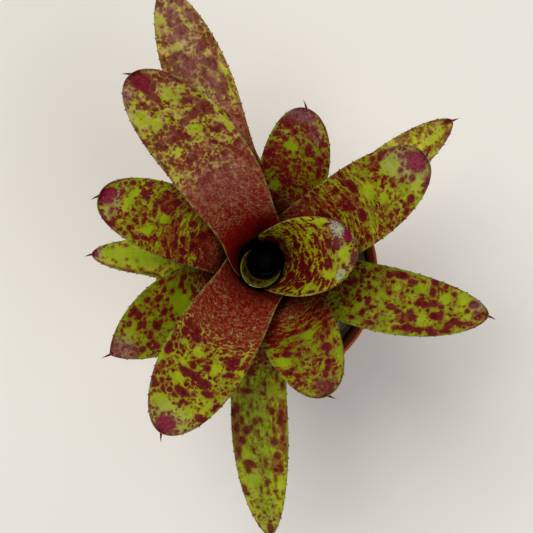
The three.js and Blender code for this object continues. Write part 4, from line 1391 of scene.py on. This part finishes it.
def add_stem(stem):
    """The short stem, ringed where old leaves have come away, with its roots."""
    piece = turned("stem", stem_profile(stem), STEM_SIDES)
    roots = [add_root(stem, i) for i in range(stem.root_count)]
    take(piece)
    for root in roots:
        root.select_set(True)
    bpy.ops.object.join()
    piece.location = PLANT * MM
    settle(piece)
    points = coordinates(piece.data)
    for i, point in enumerate(points):
        if point[2] > stem.bottom:
            points[i] += np.array(noise.noise_vector(Vector(point) * STEM_BUMPS)) * BUMP_RISE
    place_points(piece.data, points)
    smooth_shaded(piece, angle=45)
    return piece


def stem_finish(name, c):
    """Brown below, green above, fibrous, and black with painted shade at its top, down in the cup."""
    f = Finish(name)
    place = f.object_place()
    height = f.node("ShaderNodeSeparateXYZ", {0: place}).outputs["Z"]
    cloud = f.noise(place, 90, 3.0)
    fibre = f.noise(f.stretched(place, 1, 1, 0.15), 700, 3.0, 0.6)
    age = f.add(f.ramp(height, c.top - 3 * MM, c.top - 25 * MM), centred(f, cloud, 1.2))
    base = f.mix(f.ramp(age, 0.2, 0.7), c.green, c.brown)
    base = f.mix(f.ramp(fibre, 0.45, 0.75, 0.0, 0.7), base, dimmed(c.brown, 0.4))
    # Painted shade: the stem's top, deep in the cup, is black.
    stem_top_shade = f.ramp(height, (COLLAR - 2.5) * MM, (COLLAR - 0.5) * MM)
    base = f.mix(stem_top_shade, base, BLACK)
    f.set(Base_Color=base, Roughness=f.ramp(fibre, 0.3, 0.7, 0.6, 0.85), Specular_IOR_Level=0.1)
    f.bump(fibre, 0.0004, 0.8)
    return f.material


# ------------------------------------------------------------------ leaves

ROWS_BLADE, ROWS_TIP, COLUMNS = 78, 30, 24  # of faces, up to the tip's taper, in it and across
THIN_TIP = 0.75  # how much of its thickness the leaf keeps at its tip
# The inside of the cup is painted with shade: none above CUP_LIT, full below CUP_DARK.
CUP_LIT, CUP_DARK = 148, 124  # heights between which the inside of the cup goes dark
# By the leaf's index: how much greener it is down its middle, and how deep red it is where it
# bends out of the cup.
FRESH = {11: 0.6, 13: 0.35}
CUP_RED = {2: 1, 3: 0.6}
CLUSTER = 2.2  # half the width of the smallest spot that is a cloud of spots, in mm
DROP_PULL = 3.5  # how little neighbouring spots reach out to each other, per mm
PATTERN_SHIFT = 40.0  # from one leaf's part of the pattern of loose spots to the next one's
TOOTHED_FROM = 0.34  # where the teeth begin, as a share of the leaf above its foot
TOOTH_LEAN = 0.75  # how much a tooth points to the tip for each 1 that it points outwards
TOOTH_WIDTH, TOOTH_SUNK = 0.62, 0.25  # as shares of its length
FIRST_TOOTH = (3.5, 6)  # from the tip, in mm
TOOTH_SIZES, TOOTH_GAPS = (0.7, 1.15), (0.72, 1.28)  # as shares of the settings
SPINE_TURN = 0.55  # the share of its hook that the end spine is turned, beside its own bend
SPINE_STRETCH = 1.55  # makes up for what the end spine's bend and its sunk root take off
SPINE_WIDTH, SPINE_SUNK = 2.1, 1.4  # in mm


def thorn_pattern(name, sides, segments, bend, flat, taper_from):
    """A curved thorn one unit long and one wide at its root, which grows along +Y and bends
    towards -X by `bend` degrees. Beyond its root it tapers from `taper_from` to a point."""
    start_clean()
    bpy.ops.mesh.primitive_circle_add(vertices=sides, radius=0.5, fill_type="NGON")
    piece = named(name)
    piece.rotation_euler = (-math.pi / 2, 0, 0)
    piece.scale = (1, flat, 1)
    settle(piece)
    bpy.ops.object.mode_set(mode="EDIT")
    bpy.ops.mesh.select_all(action="SELECT")
    place = Vector((0, 0, 0))
    width = 1.0
    for i in range(1, segments + 1):
        heading = math.radians(bend) * (i - 0.5) / segments
        step = Vector((-math.sin(heading), math.cos(heading), 0)) / segments
        place += step
        next_width = max(blend(i / segments, taper_from, 0), 0.03)
        bpy.ops.mesh.extrude_region_move(TRANSFORM_OT_translate={"value": step})
        scale = next_width / width
        bpy.ops.transform.resize(value=(scale, scale, scale))
        width = next_width
    bpy.ops.mesh.select_all(action="SELECT")
    bpy.ops.mesh.normals_make_consistent(inside=False)
    return keep_mesh(take(piece))


def add_blade(leaf, name, settings):
    """The leaf's sheath and blade: a grid laid on its middle surface, then given thickness."""
    start_clean()
    rows = ROWS_BLADE + ROWS_TIP
    bpy.ops.mesh.primitive_grid_add(x_subdivisions=rows, y_subdivisions=COLUMNS, size=1)
    piece = named(name)
    flat = coordinates(piece.data)
    share, across = flat[:, 0] + 0.5, 2 * flat[:, 1]
    # The rows come closer together towards the tip, where the outline turns most.
    tip_share = ROWS_TIP / rows
    left = np.clip((1 - share) / tip_share, 0, 1) ** 2
    tip_start = leaf.length - leaf.shape.taper
    along = np.where(
        share < 1 - tip_share,
        share / (1 - tip_share) * tip_start,
        leaf.length - leaf.shape.taper * left,
    )
    place_points(piece.data, leaf.at(along, across) * MM)
    write_values(piece.data, "along", along)
    write_values(piece.data, "across", across)
    group = piece.vertex_groups.new(name="thickness")
    for i, (s, v) in enumerate(zip(along, across)):
        thin = blend(abs(v) ** 5, 1, settings.margin)
        near_tip = blend(smooth(leaf.length - s, 6, 0), 1, THIN_TIP)
        group.add([i], float(thin * near_tip), "REPLACE")
    piece.vertex_groups.new(name="underside")  # which Solidify fills with the lower face
    take(piece)
    bpy.ops.object.mode_set(mode="EDIT")
    bpy.ops.mesh.select_all(action="SELECT")
    bpy.ops.mesh.remove_doubles(threshold=1e-6)
    bpy.ops.object.mode_set(mode="OBJECT")
    add_modifier(
        piece,
        "SOLIDIFY",
        thickness=settings.thickness,
        offset=0,
        vertex_group="thickness",
        shell_vertex_group="underside",
        use_quality_normals=True,
    )
    add_modifier(piece, "SUBSURF", levels=1, render_levels=1)
    return piece


def group_weights(piece, name):
    number = piece.vertex_groups[name].index
    weights = np.zeros(len(piece.data.vertices))
    for i, vertex in enumerate(piece.data.vertices):
        for entry in vertex.groups:
            if entry.group == number:
                weights[i] = entry.weight
    return weights


class BladePoints:
    """Where the points of a blade lie on its leaf, in mm."""

    def __init__(self, leaf, mesh):
        self.along = read_values(mesh, "along")
        self.share = read_values(mesh, "across")  # from -1 at one margin to 1 at the other
        self.out = leaf.radius(self.along)
        self.half = leaf.half_width(self.along)
        self.across = self.share * self.half
        self.from_tip = leaf.length - self.along
        self.height = leaf.height(self.along)
        self.mouth = leaf.sheath_radius

    def apart(self, patch):
        """Distance from the middle of a patch, 1 at its edge."""
        across = (self.across - patch.across) / patch.wide
        along = (self.from_tip - patch.from_tip) / patch.long
        return np.hypot(across, along)

    def within(self, rows, most=1.0):
        """How far each point lies in the patches: 1 within one of them, 0 well outside."""
        shares = (patch.amount * smooth(self.apart(patch), 1.5, 0.6) for patch in rows)
        return np.minimum(sum(shares, np.zeros_like(self.along)), most)

    def beside_cup(self, far, near):
        """0 farther out from the sheath than `far`, 1 nearer than `near`."""
        return smooth(self.out, self.mouth + far, self.mouth + near)


def colour_values(leaf, at):
    """How the ground, the flush, and the film of scales with its painted sheen change from the leaf's foot
    to its tip. Each pair of distances is where a change begins and where it is full."""
    marks = leaf.marks
    flush_full, flush_gone = marks.flush
    streaked_from, streaked_at = (3, 10) if leaf.index == CUP_LEAF else (12, 40)
    midrib = smooth(np.abs(at.share + 0.1), 0.75, 0.2)
    fresh = FRESH.get(leaf.index, 0) * midrib * smooth(at.from_tip, 86, 60)
    # near_tip: painted sheen where the tips lie open to the light.
    near_tip = 0.12 * smooth(at.from_tip, 25, 5)
    return {
        "flush": smooth(at.out, flush_gone, flush_full),
        "deep": CUP_RED.get(leaf.index, 0) * at.beside_cup(17, 4),
        "streaks": marks.streaks * smooth(at.from_tip, streaked_from, streaked_at),
        "film": marks.film * (1 - at.beside_cup(40, 4)) + near_tip,
        "old": marks.old * blend(smooth(at.from_tip, 6, 34), 0.5, 1),
        "fresh": fresh,
    }


def mark_values(leaf, at):
    """The leaf's own spots and patches. A small spot is drawn alone, and a large one is a cloud
    in which the loose spots run together."""
    marks = leaf.marks
    singles = [spot for spot in marks.dark if min(spot.wide, spot.long) < CLUSTER]
    depths = [(1 - at.apart(spot)) * min(spot.wide, spot.long) for spot in singles]
    none = np.full_like(at.along, 1e-4)
    joined = sum((np.exp(DROP_PULL * depth) for depth in depths), none)
    cloud = at.within(spot for spot in marks.dark if spot not in singles)
    placed_to = max((spot.from_tip for spot in marks.dark), default=-20)
    bare = at.within(marks.bare)
    return {
        "dark": np.log(joined) / DROP_PULL,
        "cloud": cloud,
        "placed": smooth(at.from_tip, placed_to + 8, placed_to) * (1 - cloud),
        "bare": bare,
        "spotting": marks.spots - 1.2 * bare + 0.5 * cloud,
        "stain": np.full_like(at.along, marks.stain),
        "faint": marks.faint * smooth(at.from_tip, 2, 8),
        "crimson": at.within(marks.crimson, 1.3),
        # dusty: where the mauve bloom with its painted sky reflection lies.
        "dusty": at.within(marks.dusty, 1.3),
        "scurf": at.within(marks.scurf),
    }


def edge_values(leaf, at, under):
    """The leaf's margins, its tip, its underside, and the painted shade inside the cup and over the heart
    leaf.
    """
    to_edge = at.half * (1 - np.abs(at.share))
    dark_in = leaf.marks.dark_tip
    dark_tip = smooth(np.minimum(to_edge, at.from_tip), 2.6, 0.2)
    paleness = 0.2 if leaf.index == HEART_LEAF else 0.45
    lip = 0.7 if leaf.index == CUP_LEAF else 2
    cup_shade = at.beside_cup(lip, 0.2) * smooth(at.height, CUP_LIT, CUP_DARK)
    # The heart leaf, deep in the cup, takes half painted shade.
    heart_shade = 0.5 * (leaf.index == HEART_LEAF)
    return {
        "edge": to_edge,
        "dark_tip": dark_tip * smooth(at.from_tip, 2.2 * dark_in + 1, dark_in),
        "pale_edge": at.beside_cup(26, 14) * (leaf.index < FLUSHED) * paleness,
        "under": under,
        # depth: painted shade, black inside the cup and half dark over the heart leaf, kept off the
        # underside.
        "depth": np.maximum(cup_shade, heart_shade) * (1 - under),
        "tooth": np.zeros_like(at.along),
    }


def paint_leaf(leaf, piece):
    """Stores what the leaf's finish reads: where each point lies, and how it is marked there."""
    mesh = piece.data
    at = BladePoints(leaf, mesh)
    # The marks of the leaf beside the cup are drawn out down its steep side.
    steep_share = 0.7 * (leaf.index == CUP_LEAF)
    along = blend(steep_share, at.along, at.out)
    across = at.across + PATTERN_SHIFT * leaf.index
    write_vectors(mesh, "leaf_place", np.column_stack([across, along, np.zeros_like(along)]))
    under = group_weights(piece, "underside")
    values = colour_values(leaf, at) | mark_values(leaf, at) | edge_values(leaf, at, under)
    for name, numbers in values.items():
        write_values(mesh, name, numbers)
    piece.vertex_groups.clear()


def thorn_matrix(root, sideways, forward, up):
    """Lays a thorn pattern at its root: its own X, Y and Z go along the three directions."""
    basis = Matrix((sideways, forward, up)).transposed().to_4x4()
    return Matrix.Scale(MM, 4) @ Matrix.Translation(root) @ basis


def tooth_places(leaf, settings, draw):
    """A tooth every few millimetres down both margins, each leaning towards the tip."""
    matrices = []
    first = blend(TOOTHED_FROM, leaf.foot_length, leaf.length)
    for side in (1, -1):
        s = leaf.length - draw.uniform(*FIRST_TOOTH)
        while s > first:
            along, _, up = leaf.axes(s, side)
            outward = up.cross(along) * side
            point = (outward + along * TOOTH_LEAN).normalized()
            flank = point.cross(up).normalized()
            face = flank.cross(point)
            size = settings.tooth * draw.uniform(*TOOTH_SIZES) / MM
            width = TOOTH_WIDTH * size
            root = Vector(leaf.at(s, side)) - point * TOOTH_SUNK * size
            matrix = thorn_matrix(root, flank * width, point * size, face * width)
            if side > 0:
                matrix = matrix @ Matrix.Diagonal((-1, 1, 1, 1))
            matrices.append(matrix)
            s -= settings.tooth_spacing / MM * draw.uniform(*TOOTH_GAPS)
    return matrices


def spine_place(leaf, settings):
    """The end spine, which leaves the tip turned to the side that it bends to."""
    along, _, up = leaf.axes(leaf.length, 0)
    turn = Matrix.Rotation(math.radians(leaf.shape.hook * SPINE_TURN), 4, up)
    forward = turn @ along
    root = Vector(leaf.at(leaf.length, 0)) - forward * SPINE_SUNK
    size = settings.spine / MM * SPINE_STRETCH
    return thorn_matrix(root, forward.cross(up) * SPINE_WIDTH, forward * size, up)


def add_teeth(leaf, settings, patterns, draw):
    """The teeth of both margins and the spine at the tip, in one piece."""
    tooth, spine_left, spine_right = 0, 1, 2
    places = [(tooth, matrix) for matrix in tooth_places(leaf, settings, draw)]
    if leaf.index != HEART_LEAF:
        spine = spine_left if leaf.shape.hook >= 0 else spine_right
        places.append((spine, spine_place(leaf, settings)))
    piece = scatter("leaf_teeth", patterns, places)
    write_values(piece.data, "tooth", np.ones(len(piece.data.vertices)))
    return piece


def add_leaf(index, settings, patterns, materials):
    """One leaf with its teeth and its end spine, in one piece."""
    leaf = Leaf(index)
    name = f"blade_{index + 1:02d}"
    piece = add_blade(leaf, name, settings)
    paint_leaf(leaf, piece)
    teeth = add_teeth(leaf, settings, patterns, random.Random(SEED + index))
    take(piece)
    teeth.select_set(True)
    bpy.ops.object.join()
    bpy.ops.object.mode_set(mode="EDIT")
    bpy.ops.mesh.select_all(action="SELECT")
    bpy.ops.mesh.normals_make_consistent(inside=False)
    bpy.ops.object.mode_set(mode="OBJECT")
    smooth_shaded(piece, angle=60)
    slot = "flushed_leaf" if index < FLUSHED else "spotted_leaf"
    finish_piece(piece, materials[slot], slot, f"leaf_{index + 1:02d}")


# ------------------------------------------------------------------ stage

FLOOR_SIZE, FLOOR_TOP = 6, -0.1 * MM  # the pot's foot stands just clear of the floor
SENSOR_WIDTH = 36  # of the camera, in mm
SKY_TINT, SKY_STRENGTH = (0.93, 0.96, 1, 1), 0.33
MIDDLE_OF_PLANT = Vector((0, 0, 0.12))
LIGHTS = (  # name, place and size in m, power in W, tint
    ("key", (-0.7, 0.8, 1.9), 1.3, 36, (1, 0.97, 0.92)),
    ("fill", (1.0, -0.8, 1.5), 1.5, 15.5, (0.94, 0.97, 1)),
)


def add_light(name, place, size, power, tint):
    """A soft square light that faces the plant."""
    bpy.ops.object.light_add(type="AREA", location=place)
    light = bpy.context.object
    light.name = name
    light.data.size = size
    light.data.energy = power
    light.data.color = tint
    aim = MIDDLE_OF_PLANT - Vector(place)
    light.rotation_euler = aim.to_track_quat("-Z", "Y").to_euler()


# ------------------------------------------------------------------ operators


class BROMELIAD_OT_pot(bpy.types.Operator):
    """Make the plastic pot"""

    bl_idname = "bromeliad.pot"
    bl_label = "Pot"

    def execute(self, context):
        pot = context.scene.bromeliad_pot
        plastic = plastic_finish("Terracotta plastic", pot)
        finish_piece(add_pot(pot), plastic, "pot_plastic", "pot")
        return {"FINISHED"}


class BROMELIAD_OT_potting_mix(bpy.types.Operator):
    """Make the potting mix with its bark and perlite"""

    bl_idname = "bromeliad.potting_mix"
    bl_label = "Potting mix"

    def execute(self, context):
        pot, mix = context.scene.bromeliad_pot, context.scene.bromeliad_mix
        rim = inside_radius(pot, mix.top) - mix.gap
        draw = random.Random(SEED)
        peat = crumb_finish("Peat", mix.soil, mix.soil, mix.bark, scale=260, rough=0.95)
        finish_piece(add_mix_bed(pot, mix), peat, "potting_mix", "potting_mix")
        bark = crumb_finish("Bark", mix.bark, mix.soil, mix.bark_grey, scale=130, rough=0.92)
        finish_piece(add_bark(mix, rim, draw), bark, "potting_mix")
        dusty = dimmed(mix.perlite, 0.6)
        perlite = crumb_finish("Perlite", mix.perlite, dusty, mix.perlite, scale=300, rough=0.95)
        finish_piece(add_perlite(mix, rim, draw), perlite, "potting_mix")
        return {"FINISHED"}


class BROMELIAD_OT_stem(bpy.types.Operator):
    """Make the stem with its roots"""

    bl_idname = "bromeliad.stem"
    bl_label = "Stem and roots"

    def execute(self, context):
        stem = context.scene.bromeliad_stem
        finish_piece(add_stem(stem), stem_finish("Stem", stem), "stem_and_roots", "stem_and_roots")
        return {"FINISHED"}


class BROMELIAD_OT_leaves(bpy.types.Operator):
    """Make the fourteen leaves"""

    bl_idname = "bromeliad.leaves"
    bl_label = "Leaves"

    def execute(self, context):
        settings = context.scene.bromeliad_leaf
        materials = {
            "flushed_leaf": leaf_finish("Flushed leaf", settings),
            "spotted_leaf": leaf_finish("Spotted leaf", settings),
        }
        patterns = [
            thorn_pattern("tooth", sides=6, segments=3, bend=35, flat=0.8, taper_from=0.95),
            thorn_pattern("spine_left", sides=8, segments=8, bend=55, flat=1, taper_from=0.75),
            thorn_pattern("spine_right", sides=8, segments=8, bend=-55, flat=1, taper_from=0.75),
        ]
        for index in range(len(SHAPES)):
            add_leaf(index, settings, patterns, materials)
        return {"FINISHED"}


class BROMELIAD_OT_stage(bpy.types.Operator):
    """Set up the floor, the lights and the camera"""

    bl_idname = "bromeliad.stage"
    bl_label = "Stage"

    def execute(self, context):
        stage = context.scene.bromeliad_stage
        start_clean()
        bpy.ops.mesh.primitive_plane_add(size=FLOOR_SIZE, location=(0, 0, FLOOR_TOP))
        floor = named("floor")
        floor.data.materials.append(floor_finish("Floor", stage))

        bpy.ops.object.camera_add(location=(stage.camera_x, stage.camera_y, stage.camera_z))
        camera = bpy.context.object
        camera.rotation_euler = (0, 0, 0)
        camera.data.lens = stage.lens
        camera.data.sensor_width = SENSOR_WIDTH
        camera.data.clip_start = 10 * MM
        context.scene.camera = camera

        world = bpy.data.worlds.new("Studio")
        world.use_nodes = True
        background = world.node_tree.nodes["Background"]
        background.inputs["Color"].default_value = SKY_TINT
        background.inputs["Strength"].default_value = SKY_STRENGTH
        context.scene.world = world

        for light in LIGHTS:
            add_light(*light)
        context.scene.view_settings.view_transform = "Standard"
        return {"FINISHED"}


class BROMELIAD_PT_sidebar(bpy.types.Panel):
    """The steps, in the order in which they are made"""

    bl_idname = "BROMELIAD_PT_sidebar"
    bl_label = "Bromeliad"
    bl_space_type = "VIEW_3D"
    bl_region_type = "UI"
    bl_category = "Bromeliad"

    def draw(self, context):
        for step in OPERATORS:
            self.layout.operator(step.bl_idname)


SETTINGS = {
    "bromeliad_pot": PotSettings,
    "bromeliad_mix": MixSettings,
    "bromeliad_stem": StemSettings,
    "bromeliad_leaf": LeafSettings,
    "bromeliad_stage": StageSettings,
}
OPERATORS = (
    BROMELIAD_OT_pot,
    BROMELIAD_OT_potting_mix,
    BROMELIAD_OT_stem,
    BROMELIAD_OT_leaves,
    BROMELIAD_OT_stage,
)
CLASSES = (*SETTINGS.values(), *OPERATORS, BROMELIAD_PT_sidebar)


def register():
    noise.seed_set(SEED)  # its vector noise would otherwise follow the clock
    for item in CLASSES:
        bpy.utils.register_class(item)
    for name, group in SETTINGS.items():
        setattr(bpy.types.Scene, name, bpy.props.PointerProperty(type=group))


def unregister():
    for name in SETTINGS:
        delattr(bpy.types.Scene, name)
    for item in reversed(CLASSES):
        bpy.utils.unregister_class(item)


def main():
    register()
    bpy.ops.bromeliad.pot()
    bpy.ops.bromeliad.potting_mix()
    bpy.ops.bromeliad.stem()
    bpy.ops.bromeliad.leaves()
    bpy.ops.bromeliad.stage()


if __name__ == "__main__":
    main()
